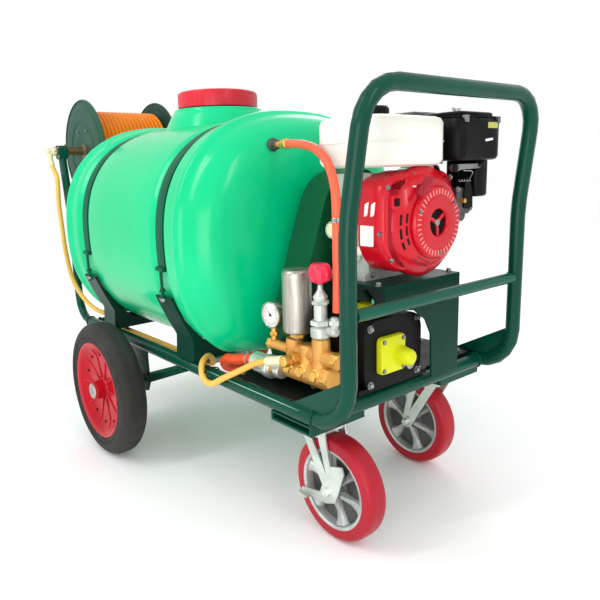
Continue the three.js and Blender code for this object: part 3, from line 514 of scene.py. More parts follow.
def hose_ferrule(name, start, end, radius, look):
    """A crimped sleeve on a hose end."""
    start, end = Vector(start), Vector(end)
    steps = 12
    path = [start.lerp(end, i / steps) for i in range(steps + 1)]
    radii = [radius * (0.86 if i in (0, steps) else 1.0 if i % 3 else 0.92) for i in range(steps + 1)]
    shape = Shape(look)
    shape.tube(path, radii, 24)
    return shape.piece(name, crease=60)


def hose_clip(name, at, heading, radius):
    """A worm-drive band with its screw housing."""
    heading = Vector(heading).normalized()
    turn = heading.to_track_quat("X", "Z").to_matrix().to_4x4()
    shape = Shape("steel")
    shape.place = Matrix.Translation(at) @ turn
    shape.lathe([(radius, -5), (radius + 1.2, -4.6), (radius + 1.2, 4.6), (radius, 5)], "x", (0, 0, 0), 32)
    shape.block((-5, -6, radius), (5, 7, radius + 6))
    shape.bolt((0, -6, radius + 3.4), "y", 7, -1)
    return shape.piece(name, bevel=0.5)


def make_hoses():
    hose("delivery", DELIVERY_ROUTE, 7.5, "hose_yellow")
    hose("return", RETURN_ROUTE, 9.5, "hose_red")
    hose("suction", SUCTION_ROUTE, 13, "hose_suction", 28)
    hose_ferrule("delivery_ferrule", (470, -280.4, 386.5), (519, -272, 398), 11, "plastic_beige")
    hose_ferrule("delivery_reel_ferrule", (-705, -304, 837.5), (-716, -304, 857), 9.4, "plastic_beige")
    hose_ferrule("return_ferrule", (382, -142, 862), (404, -146.5, 861.3), 11.4, "brass")
    hose_clip("return_clip", (616.2, -201, 700), (8, -3, -80), 9.6)
    hose_clip("suction_clip", (344, -240, 354.4), (18, -5, 3), 13.2)


make_hoses()


# ---- frame details ----
def make_frame_details():
    welds = Shape("frame_green")
    for _, side in SIDES:
        welds.weld((732 - 5, side * 281, 532), "y", 13.6)
        welds.weld((640, side * 270.5, RAIL_Z), "y", 17.4)
        welds.weld((-480, side * 270.5, RAIL_Z), "y", 17.4)
        welds.weld((636.8, side * RAIL_Y, RAIL_Z), "x", 17.2)
        welds.weld((-518.2, side * RAIL_Y, RAIL_Z), "x", 17.2)
        for x in (-252, -190, -120, -40, 40, 96):
            welds.tube([(x, side * (RAIL_Y - 5), 287), (x + 16, side * (RAIL_Y - 5), 287)], 2.6, 8)
        welds.tube([(568, side * (RAIL_Y + 3.4), 320), (632, side * (RAIL_Y + 3.4), 320)], 2.2, 8)
    welds.piece("frame_welds", crease=70)

    # A painted highlight: a thin pale streak along the near rail's upper shoulder, in place of the light's
    # reflection on the tube.
    edge = Shape("edge_mint")
    y, z = -RAIL_Y - TUBE_R * cos(0.7), RAIL_Z + TUBE_R * sin(0.7)
    edge.tube([(170, y, z), (330, y, z), (520, y, z), (600, y, z)], [0.3, 0.9, 1.1, 0.3], 10)
    edge.piece("rail_painted_highlight", crease=70)

    bolts = Shape()
    for x, y in ((538, -202), (551, -161), (352, -262), (352, 262), (600, 250), (600, -250), (470, 262),
                 (352, 60)):
        bolts.bolt((x, y, DECK_Z), "z", 11)
    for _, side in SIDES:
        for x in (512, 620):
            for y in (152, 282):
                bolts.bolt((x, side * y, 285), "z", 9, -1)
        for x in (507, 655):
            bolts.bolt((x, side * 122 + 4, 558), "z", 12)
    bolts.piece("deck_bolts", bevel=0.4)

    caps = Shape("bronze")
    for _, side in SIDES:
        y = side * 262
        ring = rounded([(13, -17.5), (25, -17.5), (25, -15)], 1, 2) + [(13, -15)]
        caps.lathe(flanked(ring, side), "y", (REEL.x, y, REEL.z), 40, closed=True)
        for dz in (-14, 14):
            caps.bolt((REEL.x + 14, y + side * 15, REEL.z + dz - 4), "y", 8, side)
    caps.piece("bearing_rings", bevel=0.5)

    tie = Shape("plastic_black")
    tie.place = Matrix.Translation((258, 0, 0))
    loop = rounded([(-RAIL_Y - 27, 290), (-RAIL_Y - 30, 318), (-RAIL_Y - 6, 325), (-RAIL_Y + 18, 318),
                    (-RAIL_Y + 19, 290), (-RAIL_Y - 4, 284)], 16, 5, closed=True)
    tie.tube([(0, p.x, p.y) for p in loop], 1.7, 8, closed=True)
    tie.block((-4, -RAIL_Y - 34, 300), (4, -RAIL_Y - 27, 309))
    tie.piece("cable_tie")


# ---- tank ----
def oval(degrees, grow=0.0, share=1.0):
    """A point of the tank's squarish oval, as (y, z)."""
    t = radians(degrees)
    across = abs(cos(t)) / (TANK_A + grow)
    upright = abs(sin(t)) / (TANK_B + grow)
    r = share * (across ** TANK_POWER + upright ** TANK_POWER) ** (-1 / TANK_POWER)
    return r * cos(t), TANK_Z + r * sin(t)


def above_floor(z, soft=5.0):
    """The flat foot of the tank meets its flanks in a soft curve."""
    rise = (z - TANK_FLOOR) / soft
    return TANK_FLOOR + (soft * log1p(exp(rise)) if rise < 20 else rise * soft)


def make_tank():
    width = 330.0
    dome = smooth_path([(0.1, 450), (158, 445), (244, 435), (298, 416), (324, 388), (337, 362), (348, 348),
                        (350, 336), (345, 324), (342, 316)], 6)
    side = rounded([(342, 316), (341.5, 310), (341.5, 278), (329, 260), (329, 212), (337, 196), (338.5, 120),
                    (338.5, 0)], 6, 5)
    half = [(r / width, x) for r, x in dome[:-1] + side]
    profile = half + [(r, -x) for r, x in reversed(half[:-1])]
    tank = Shape("tank_green")
    steps = 144
    rings = []
    for share, x in profile:
        ring = []
        for i in range(steps):
            y, z = oval(360 * i / steps, share=share)
            ring.append((TANK_X + x, y, above_floor(z)))
        rings.append(ring)
    tank.loft(rings)
    collar = rounded([(176, 896), (158, 930), (140, 966), (132, 976), (130, 984), (106, 984), (106, 1013),
                      (98, 1013), (98, 900)], 5, 4)
    tank.lathe(collar, "z", (NECK_X, 0, 0), 96, closed=True)
    tank.piece("tank_shell", ["tank"], crease=50)


def make_lid():
    lid = Shape("lid_red")
    section = rounded([(0.1, 1028), (34, 1028), (38, 1031), (96, 1031), (100, 1034), (112, 1034),
                       (118, 1030), (118.6, 990), (117, 984.4), (108, 984.4), (108, 1016), (0.1, 1016)],
                      3, 4)
    neck = (NECK_X, 0, 0)
    lid.lathe(section, "z", neck, 120)
    lid.lathe([(109, 984.2), (117.6, 984.2), (118.4, 987.6), (109, 987.6)], "z", neck, 120, "plastic_black",
              closed=True)
    for _ in lid.around(40, neck, "Z"):
        lid.tube([(118.2, 0, 990), (118.2, 0, 1008), (118, 0, 1025)], [0.7, 0.9, 0.6], 8)
    for _ in lid.around(6, neck, "Z"):
        lid.block((42, -2.5, 1030), (94, 2.5, 1033.4))
    lid.lathe([(0.1, 1033.6), (12, 1033.4), (16, 1031), (16, 1027)], "z", neck, 32, "plastic_black")
    lid.piece("lid_cap", ["tank_lid"], "lid", crease=40)


def make_strap(name, x):
    strap = Shape("strap_green")
    rings = []
    for i in range(101):
        angle = -10 + 2 * i
        ring = []
        for grow, dx in ((0.6, -17.5), (3.2, -17.5), (3.6, -16), (3.6, 16), (3.2, 17.5), (0.6, 17.5)):
            y, z = oval(angle, grow)
            ring.append((x + dx, y, z))
        rings.append(ring)
    strap.loft(rings)
    for angle in (-9, 189):
        flank = 1 if angle < 90 else -1
        y, z = oval(angle, 7)
        strap.tube([(x - 17.5, y, z), (x + 17.5, y, z)], 6, 20)
        y1, z1 = y - flank * 2, z - 88
        strap.tube([(x, y, z), (x, y1, z1)], 4, 14)
        strap.bolt((x, y1, z1 + 14), "z", 15, -1)
        strap.bolt((x, y1, z1 + 31), "z", 13, 1, "strap_green")
    strap.piece("strap_" + name, ["tank_strap_" + name], crease=40)

    feet = Shape()
    for _, flank in SIDES:
        for dx in (-26, 26):
            feet.bolt((x + dx, flank * (RAIL_Y - 52), 347.8), "z", 10)
    feet.piece("saddle_bolts_" + name)


def make_return_port():
    port = Shape("cast_dark")
    centre = (0, -137, 862)
    port.turned([(16, 333), (16, 340), (11, 342), (11, 350)], (1.5, 2), "x", centre, 32)
    port.lathe([(12.5, 343), (12.5, 352), (10.5, 354)], "x", centre, 6)
    port.lathe([(7.5, 352), (7.5, 366), (6.5, 368), (6.5, 383)], "x", centre, 24, "cast_brass")
    port.piece("return_port", ["return_fitting"], bevel=0.4)


# ---- hose reel ----
def make_reel():
    reel = Shape("reel_green")
    for y, out in ((REEL_LEFT, -1), (REEL_RIGHT, 1)):
        middle = [(13, y), (40, y)] if out < 0 else [(56, y), (64, y)]
        face = rounded(middle + [(70, y + out * 3), (92, y + out * 3), (100, y), (108, y + out * 5),
                                 (152, y + out * 5), (162, y), (176, y)], 5, 4)
        rim = [(175.4 + 5 * sin(t), y - out * 1.5 + out * 4 * cos(t)) for t
               in (radians(15 * k) for k in range(0, 13))]
        back = [(r, h - out * 3) for r, h in reversed(face)]
        reel.lathe(face + rim + back, "y", REEL, 96, closed=True)
        for k in range(6):
            t = tau * k / 6
            reel.bolt(REEL + Vector((80 * cos(t), y + out * 3, 80 * sin(t))), "y", 9, out)
    for turn in (0, 90):
        reel.place = spun(REEL, "Y", radians(turn))
        reel.plate((-58, -9, 58, 9, 2, 2), "y", REEL_RIGHT - 12, REEL_RIGHT - 1)
    reel.place = Matrix.Identity(4)
    reel.lathe([(60, REEL_LEFT + 1), (60, REEL_RIGHT - 1), (56, REEL_RIGHT - 1), (56, REEL_LEFT + 1)], "y",
               REEL, 48, closed=True)
    reel.lathe([(12, -283), (12, 283)], "y", REEL, 28, "bolt_steel")
    reel.turned([(12, -244), (16, -244), (16, -186), (26, -180)], (3, 3), "y", REEL, 32, "bronze")
    reel.turned([(12, 244), (16, 244), (16, 120), (22, 112)], (3, 3), "y", REEL, 32, "bronze")
    reel.lathe([(13, -276), (14.5, -275), (14.5, -248), (13, -247)], "y", REEL, 32, "bronze")
    reel.piece("reel_drum", ["hose_reel"], "reel", crease=40)

    pitch = 15.4
    turns = 17
    radius = 7.6
    winding = Shape("hose_orange")
    per_turn = 56
    path = []
    for i in range(turns * per_turn + 1):
        t = tau * i / per_turn
        path.append(REEL + Vector((133 * cos(t), REEL_LEFT + 14 + pitch * i / per_turn, 133 * sin(t))))
    winding.tube(path, radius, 14)
    path = []
    for i in range((turns - 1) * per_turn + 1):
        t = -tau * i / per_turn
        path.append(REEL + Vector((120 * cos(t), REEL_LEFT + 21 + pitch * i / per_turn, 120 * sin(t))))
    winding.tube(path, radius, 10)
    winding.lathe([(61, REEL_LEFT + 7), (114, REEL_LEFT + 7), (114, REEL_RIGHT - 7), (61, REEL_RIGHT - 7)],
                  "y", REEL, 48, closed=True)
    winding.piece("reel_winding", ["reel_hose"], "reel", crease=60)

    swivel = Shape("plastic_beige")
    swivel.turned([(0.1, -284), (15, -284), (15, -296), (11, -298), (11, -312), (8, -316), (0.1, -316)],
                  (1.5, 3), "y", REEL, 36)
    swivel.tube([REEL + Vector(v) for v in ((0, -304, 2), (0, -304, -14), (0, -304, -30))], [9.5, 9.2, 8.4],
                28)
    swivel.lathe([(16, -285), (16, -293), (14, -295)], "y", REEL, 6, "brass")
    swivel.tube([(REEL.x, -262, 859), (REEL.x, -262, 832), (REEL.x, -262, 824)], [8, 8, 5], 24,
                "plastic_white")
    swivel.piece("reel_elbow", ["reel_swivel"], bevel=0.4)


make_frame_details()
make_tank()
make_lid()
make_strap("front", TANK_X - STRAP_X)
make_strap("rear", TANK_X + STRAP_X)
make_return_port()
make_reel()


# ---- engine ----
SHROUD = [(-70, 580), (50, 580), (84, 610), (112, 668), (112, 760), (92, 792), (-40, 796), (-118, 778),
          (-128, 740), (-128, 640), (-104, 600)]


def shroud_outline(inset):
    outline = []
    for p in rounded(SHROUD, 20, 5, closed=True):
        arm = p - Vector((SHAFT.y, SHAFT.z))
        outline.append(p - arm.normalized() * inset)
    return outline


def make_shroud():
    shroud = Shape("engine_red")
    front = 676
    rings = [[(x, p.x, p.y) for p in shroud_outline(inset)] for x,
             inset in ((606, 4), (606, 0), (652, 0), (664, 1.5), (671, 5), (675, 10), (front, 16))]
    shroud.loft(rings, caps=(False, False))
    outline = shroud_outline(16)
    hole = [(SHAFT.y + a, SHAFT.z + b) for a, b in circle(70, 64)]
    shroud.prism(outline, "x", front - 3, front, holes=[hole])
    nose = smooth_path([(119, 668), (113, 676), (106, 683), (97, 690), (87, 695.5), (78, 697.6)], 5)
    nose += [Vector(p) for p in ((71, 698), (70, 697), (70, 650), (119, 650))]
    shroud.lathe(nose, "x", SHAFT, 96, closed=True)
    shroud.disc(SHAFT, "x", 70, 652, 655, look="shadow_black")
    for low, high in ((164, 177), (181, 194), (198, 208)):
        shroud.arc(SHAFT, (86, 695.6), (90, 694), low, high, "shadow_black")
        shroud.arc(SHAFT, (97, 689.6), (101, 686.6), low + 3, high + 3, "shadow_black")
    shroud.arc(SHAFT, (84, 696.2), (96, 690.4), 232, 262, "plate_red")
    rib = rounded([(front + 1, -64, 600), (front + 4, -66, 640), (front + 4, -66, 730),
                   (front + 1, -58, 778)], 20, 4)
    shroud.tube(rib, 3.5, 12)
    shroud.plate((-112, 716, -78, 748, 8), "x", front - 3, front + 9)
    shroud.plate((-104, 724, -90, 740, 2, 2), "x", front + 8, front + 11, "plastic_black")
    shroud.plate((613, 641, 650, 684, 3, 3), "y", -129, -128.4, "label_white")
    for y, z in ((-100, 612), (60, 606), (100, 690), (96, 776), (-30, 786), (-112, 762)):
        shroud.bolt((front - 3, y, z), "x", 9)
    for x in (624, 642):
        shroud.prism(rounded([(x, 702), (x + 9, 706), (x + 13, 734), (x + 2, 728)], 3, 3, closed=True), "y",
                     -129.4, -128, "label_white")
    shroud.bolt((664, -126, 668), "y", 8, -1)
    shroud.piece("engine_shroud", ["fan_shroud"], crease=40)

    fan = Shape("cast_dark")
    for _ in fan.around(12, SHAFT, "X"):
        fan.block((658, -1.2, 22), (676, 1.2, 64), "plastic_black")
    fan.turned([(0.1, 684), (16, 684), (22, 680), (22, 656)], (2, 3), "x", SHAFT, 32)
    fan.piece("cooling_fan")


def make_recoil():
    recoil = Shape("engine_red")
    section = rounded([(30, 701), (66, 701), (67, 698.5), (78, 698.5), (78, 704), (74, 709.5), (58, 709.5),
                       (55, 712), (32, 712), (28, 708)], 1.6, 3, closed=True)
    recoil.lathe(section, "x", SHAFT, 88, closed=True)
    for _ in recoil.around(40, SHAFT, "X"):
        recoil.block((709, -1.0, 60), (710.9, 1.0, 71), "tick_pale")
    for _ in recoil.around(3, SHAFT, "X", 0.55):
        recoil.block((702, -3.6, 4), (706, 3.6, 31))
        recoil.bolt((709.4, 0, 66), "x", 7)
    recoil.lathe([(0.1, 707), (7, 707), (8, 705), (8, 700)], "x", SHAFT, 24, "bolt_steel")
    recoil.disc(SHAFT, "x", 32, 698.6, 700, look="shadow_black")
    recoil.piece("recoil_cover", ["recoil_starter"], crease=40)


def make_grip():
    grip = Shape("grip_red")
    grip.place = spun((718, -50, 762), "X", radians(42))
    rings = []
    for along, wide in ((-26, 5), (-24, 8), (-18, 9), (-9, 7.4), (0, 8.6), (9, 7.4), (18, 9), (24, 8),
                        (26, 5)):
        rings.append([(a, along, b) for a, b in rectangle(-wide, -wide, wide, wide, wide * 0.7, 4)])
    grip.loft(rings)
    grip.lathe([(6, -8), (5, -12), (3.4, -19)], "x", (0, 0, 0), 20)
    grip.lathe([(2, -18), (2, -96)], "x", (0, 0, 0), 10, "plastic_white")
    grip.piece("starter_handle_grip", ["starter_grip"], "starter_handle", crease=50)


def pillow(shape, x0, y0, x1, y1, z0, z1, corner, soft, look=None):
    """A box with round corners and soft top and bottom edges."""
    rings = []
    for z, inset in ((z0, soft), (z0 + soft * 0.3, soft * 0.35), (z0 + soft, 0), (z1 - soft, 0),
                     (z1 - soft * 0.3, soft * 0.3), (z1, soft)):
        outline = rectangle(x0 + inset, y0 + inset, x1 - inset, y1 - inset, max(corner - inset * 0.4, 2), 6)
        rings.append([(p.x, p.y, z) for p in outline])
    shape.loft(rings, look)


def make_fuel_tank():
    tank = Shape("fuel_white")
    pillow(tank, 516, -169, 693, 63, 803, 905, 36, 13)
    tank.plate((514, -171, 695, 65, 38, 6), "z", 852, 854.6)
    tank.turned([(30, 900), (28, 906), (25, 908), (25, 911)], (1.5, 3), "z", (600, -70, 0), 40)
    for x in (540, 670):
        tank.block((x - 9, 58, 806), (x + 9, 63, 826), "bolt_steel")
    tank.piece("fuel_tank_shell", ["fuel_tank"], bevel=1.0)

    cap = Shape("plastic_black")
    cap.turned([(24, 911.6), (30, 912), (30, 923), (26, 928.6), (0.1, 929)], (2, 4), "z", (600, -70, 0), 60)
    for _ in cap.around(24, (600, -70, 0), "Z"):
        cap.tube([(29.4, 0, 913), (29.4, 0, 923)], 1.1, 6)
    cap.piece("fuel_tank_cap", ["fuel_cap"], "filler_cap", crease=50)


def make_air_side():
    cleaner = Shape("plastic_black")
    pillow(cleaner, 578, 84, 708, 246, 812, 905, 26, 9)
    cleaner.plate((584, 90, 702, 240, 22), "z", 905, 909)
    pillow(cleaner, 590, 96, 696, 234, 907, 918, 20, 5)
    cleaner.lathe([(9, 917), (9, 922), (6, 923), (6, 929), (0.1, 930)], "z", (642, 160, 0), 24, "zinc")
    for flank in (-1, 1):
        cleaner.prism(rounded([(160 + flank * 4, 921), (160 + flank * 15, 926), (160 + flank * 15, 932),
                               (160 + flank * 4, 928)], 2, 3, closed=True), "x", 640, 644, "zinc")
    pillow(cleaner, 590, 192, 680, 240, 728, 816, 12, 6)
    cleaner.plate((186, 882, 224, 895, 2, 2), "x", 707, 708.8, "label_lime")
    # A thin white sliver on the cleaner's front face: a painted highlight, a glint on the black cover.
    cleaner.prism(rounded([(176, 852), (208, 856), (206, 861), (178, 858)], 2, 3, closed=True), "x", 707,
                  708.6, "label_white")
    for z in (826, 838, 850):
        cleaner.block((700, 100, z), (709, 180, z + 3))
    for y in (104, 226):
        cleaner.block((700, y - 5, 893), (711, y + 5, 908), "bolt_steel")
    cleaner.piece("air_filter", ["air_cleaner"], bevel=0.8)

    carb = Shape("plastic_black")
    pillow(carb, 618, 130, 672, 184, 690, 752, 10, 5, "cast_dark")
    carb.turned([(24, 690), (24, 684), (20, 674), (12, 672), (0.1, 672)], (3, 3), "z", (645, 158, 0), 36,
                "cast_dark")
    carb.bolt((645, 158, 672), "z", 12, -1, "brass")
    carb.plate((122, 694, 186, 756, 8), "x", 611, 618)
    carb.prism(rounded([(150, 704), (184, 700), (182, 742), (166, 775), (156, 775), (150, 740)], 6, 3,
                       closed=True), "x", 672, 676)
    for y, z in ((130, 702), (178, 702), (130, 748)):
        carb.bolt((671, y, z), "x", 9)
    carb.lathe([(5, 672), (5, 684), (0.1, 686)], "x", (0, 142, 722), 20, "brass")
    spring = [(679 + 2.5 * cos(t * 1.9), 120 + 3.2 * t, 768 + 2.5 * sin(t * 1.9)) for t
              in (i / 2 for i in range(32))]
    carb.tube(spring, 0.7, 6, "steel")
    carb.wire([(676, 168, 770), (690, 158, 786), (692, 120, 790)], 1.3, 8, "steel")
    carb.wire([(650, 66, 806), (655, 96, 782), (650, 132, 772), (646, 150, 750)], 3.2, 10)
    carb.piece("carburettor_body", ["carburettor"], bevel=0.6)


def make_muffler():
    muffler = Shape("shadow_black")
    outline = rectangle(92, 834, 214, 928, 22)
    rings = [[(x, p.x + (153 - p.x) * k, p.y + (881 - p.y) * k) for p in outline] for x,
             k in ((484, 0.12), (488, 0.03), (496, 0), (556, 0), (564, 0.03), (568, 0.12))]
    muffler.loft(rings, "cast_dark")
    for i in range(7):
        z = 848 + 10 * i
        muffler.plate((110, z, 196, z + 4, 1.8, 3), "x", 566, 569.4)
        muffler.plate((500, z, 552, z + 4, 1.8, 3), "y", 212, 215)
    muffler.lathe([(9, 200), (9, 222), (7, 222), (7, 200)], "y", (505, 0, 850), 24, "bronze", closed=True)
    for y in (100, 206):
        muffler.bolt((568, y, 842), "x", 8)
    muffler.piece("exhaust", ["muffler"], crease=40)


def make_engine_details():
    parts = Shape("plastic_black")
    for y, z in ((-80, 570), (90, 570), (-88, 640), (-70, 770), (60, 742), (-88, 700)):
        parts.bolt((603, y, z), "x", 10)
        parts.bolt((495, y, z), "x", 10, -1)
    for t in (tau * i / 6 for i in range(6)):
        parts.bolt((482, SHAFT.y + 70 * cos(t), SHAFT.z + 70 * sin(t)), "x", 9, -1)
    parts.turned([(16, -108), (20, -110), (20, -122), (12, -125), (0.1, -125)], (2, 3), "y", (520, 0, 668),
                 36, "plastic_beige")
    parts.lathe([(12, -92), (12, -99), (0.1, -100)], "y", (572, 0, 610), 6, "zinc")
    parts.turned([(15, -92), (17, -94), (17, -104), (10, -107), (0.1, -107)], (2, 3), "y", (574, 0, 668), 30,
                 "plastic_beige")
    for x, z in ((520, 720), (580, 720), (520, 610), (550, 640)):
        parts.bolt((x, -93, z), "y", 10, -1)
    parts.block((520, -110, 728), (590, -94, 776), "cast_aluminium")
    for x in (532, 578):
        parts.bolt((x, -110, 736), "y", 9, -1)
    parts.wire([(560, -112, 700), (552, -126, 668), (566, -120, 632), (560, -106, 600)], 2.6, 10)
    parts.turned([(11, -100), (11, -118), (7, -121), (0.1, -121)], (2, 3), "y", (596, 0, 626), 24,
                 "plastic_white")
    parts.place = spun(SHAFT, "X", radians(25))
    for x, v in ((500, -24), (562, -24), (500, 24), (562, 24)):
        parts.bolt((x, 213, v), "y", 9)
    parts.tube([(531, 196, 40), (531, 206, 52), (531, 214, 62)], [6, 7.5, 7], 18)
    parts.place = Matrix.Identity(4)
    parts.wire([(531, 176, 826), (560, 150, 838), (590, 90, 806), (600, 60, 790)], 3.2, 10)
    parts.piece("engine_fittings", bevel=0.5)

    lever = Shape("plastic_black")
    lever.turned([(6, 4), (9, 6), (9, 9), (0.1, 10)], (1, 2), "x", (684, 92, 796), 24)
    lever.tube([(686.5, 182, 800), (686.5, 190, 802), (686.5, 198, 804)], [4, 5.6, 4.6], 18)
    lever.piece("throttle_knob", body="throttle", bevel=0.4)


make_shroud()
make_recoil()
make_grip()
make_fuel_tank()
make_air_side()
make_muffler()
make_engine_details()


# ---- pump ----
def make_pump():
    body = Shape("pump_yellow")
    for y, z in ((-150, 346), (4, 346), (-150, 470), (4, 470)):
        body.bolt((660, y, z), "x", 12)
    for z in (376, 408, 440):
        body.block((520, -171, z - 2), (640, -167.6, z + 2), "pump_black")
    for x in (528, 632):
        for y in (-171.5, 44):
            body.bolt((x, y + (4 if y < 0 else 0), 335.8), "z", 11)
    body.turned([(20, 484), (20, 494), (14, 498), (0.1, 498)], (2, 3), "z", (560, -60, 0), 36)
    body.lathe([(14, 660), (14, 664), (11, 665), (0.1, 665)], "x", (0, -20, 368), 28, "polished")
    body.piece("pump_fittings", bevel=0.6)

    cover = Shape("pump_yellow")
    y, z = PUMP_SHAFT.y, PUMP_SHAFT.z
    outline = rectangle(y - 40, z - 42, y + 40, z + 40, 12, 5)
    cover.loft([[(x, p.x + (y - p.x) * k, p.y + (z - p.y) * k) for p in outline] for x,
                k in ((660.6, 0), (670, 0), (673, 0.03), (674, 0.08))])
    boss = rounded([(24, 670), (21, 680), (18, 699), (14, 706), (0.1, 706)], 3, 4)
    cover.lathe(boss, "x", (0, y + 24, z - 8), 48)
    for dy in (-31, 31):
        for dz in (-33, 31):
            cover.bolt((673.4, y + dy, z + dz), "x", 8)
    cover.piece("pump_cover", ["pump_end_cover"], crease=40)


def make_manifold():
    brass = Shape("brass")
    y = -222
    brass.turned([(0.1, 478), (22, 478), (26, 484), (26, 618), (22, 624), (0.1, 624)], (4, 4), "x",
                 (0, y, 366), 44, "cast_brass")
    brass.turned([(0.1, 480), (15, 480), (17, 484), (17, 638), (14, 644), (0.1, 644)], (3, 4), "x",
                 (0, y, 410), 36, "cast_brass")
    brass.lathe([(11, 420), (11, 490)], "x", (0, -231, 410), 28, "cast_brass")
    brass.collar((0, -231, 410), "x", 15, 421, 434)
    brass.collar((0, y, 410), "x", 19, 626, 643)
    brass.collar((0, y, 366), "x", 27.5, 604, 622)
    for x, top in ((500, 436), (543, 430), (586, 452)):
        brass.turned([(25, 366), (25, 384), (20, 392), (20, top - 4), (17, top), (0.1, top)], (3, 4), "z",
                     (x, y, 0), 36, "cast_brass")
        brass.turned([(0.1, -247), (15, -247), (18, -243), (18, -226)], (2, 3), "y", (x, 0, 372), 32)
        brass.collar((x, 0, 372), "y", 13, -251, -245)
    for x in (504, 547, 590):
        brass.turned([(20, -169), (20, -178), (16, -182), (16, -214)], (2, 3), "y", (x, 0, 390), 32,
                     "cast_brass")
    outlet = (528, 0, 398)
    brass.lathe([(10, -222), (10, -268)], "y", outlet, 24)
    brass.turned([(0.1, -284), (10, -284), (13, -280), (13, -262), (9, -258)], (2, 3), "y", outlet, 28)
    brass.collar(outlet, "y", 14, -260, -246)
    brass.piece("manifold_body", ["pump_manifold"], crease=40)

    chamber = Shape("polished")
    centre = (509, -220, 0)
    chamber.turned([(12, 436.6), (12, 449), (30, 449.6), (33, 455), (33, 586), (29, 591.6), (0.1, 592)],
                   (3, 4), "z", centre, 72)
    chamber.lathe([(33.3, 578), (33.5, 579), (33.3, 580)], "z", centre, 72, "steel")
    chamber.collar(centre, "z", 17, 438, 448, "brass")
    chamber.piece("pressure_vessel", ["air_chamber"], crease=40)


def make_gauge():
    gauge = Shape("plastic_black")
    centre = Vector((438, -231, 480))
    case = rounded([(26, 12), (32, 9), (32, -8), (31, -12), (28, -12), (27, -9)], 2, 3)
    gauge.lathe([(0, 12)] + case + [(0, -9)], "y", centre, 64, "steel")
    gauge.disc(centre, "y", 27.4, -9.4, -8.8, look="dial_white")
    for i in range(28):
        long = 5 if i % 3 == 0 else 3
        gauge.place = spun(centre, "Y", radians(-45 + 10 * i))
        gauge.block((24 - long, -10, -0.4), (24, -9.4, 0.4))
    gauge.place = spun(centre, "Y", radians(225))
    gauge.prism([(-5, -0.9), (19, -0.3), (19, 0.3), (-5, 0.9)], "y", -11.2, -10.7, "knob_red")
    gauge.place = Matrix.Identity(4)
    gauge.disc(centre, "y", 3, -11.6, -9.6, 20)
    gauge.lathe([(7, 421.6), (7, 452)], "z", (438, -231, 0), 24, "brass")
    gauge.collar((438, -231, 0), "z", 10, 430, 440, "brass")
    gauge.piece("gauge", ["pressure_gauge"], crease=35)


def make_regulator():
    valve = Shape("cast_aluminium")
    x, y = 586, -222
    valve.turned([(0.1, 452.6), (20, 452.6), (22, 456), (22, 475), (14, 479), (14, 536), (16, 541), (6, 556),
                  (5, 568), (0.1, 568)], (2.5, 4), "z", (x, y, 0), 44)
    valve.collar((x, y, 0), "z", 22, 480, 492, "zinc")
    valve.collar((x, y, 0), "z", 18.5, 524, 534, "zinc")
    valve.turned([(11, 10), (11, 38), (8, 44), (0.1, 44)], (2, 3), "x", (x, y + 6, 470), 28)
    valve.turned([(9, 464), (9, 498), (6, 502), (0.1, 502)], (2, 3), "z", (x + 34, y + 8, 0), 28)
    valve.collar((x + 34, y + 8, 0), "z", 12, 484, 494, "zinc")
    valve.piece("relief_valve", ["regulator_valve"], crease=40)

    knob = Shape("knob_red")
    knob.turned([(0.1, 568.6), (9, 568.6), (22, 577), (23.4, 602), (18, 611.6), (0.1, 611.6)], (4, 5), "z",
                (x, y, 0), 60)
    for _ in knob.around(10, (x, y, 0), "Z"):
        knob.tube([(20, 0, 577), (22, 0, 590), (21, 0, 604)], [2.4, 3, 2], 10)
    knob.piece("regulator_handle", ["regulator_knob"], "pressure_control", crease=50)


def make_strainer():
    strainer = Shape("zinc")
    y, z = -238, 356
    strainer.turned([(0.1, 362), (17, 364), (23, 373), (23, 420), (28, 423), (28, 440), (20, 444), (20, 477),
                     (0.1, 477)], (3, 4), "x", (0, y, z), 44)
    strainer.collar((0, y, z), "x", 23, 446, 460, "brass")
    for _ in strainer.around(12, (0, y, z), "X"):
        strainer.tube([(376, 0, 22.6), (416, 0, 22.6)], 1.4, 8)
    strainer.piece("strainer_bowl", ["suction_strainer"], crease=40)


make_pump()
make_manifold()
make_gauge()
make_regulator()
make_strainer()


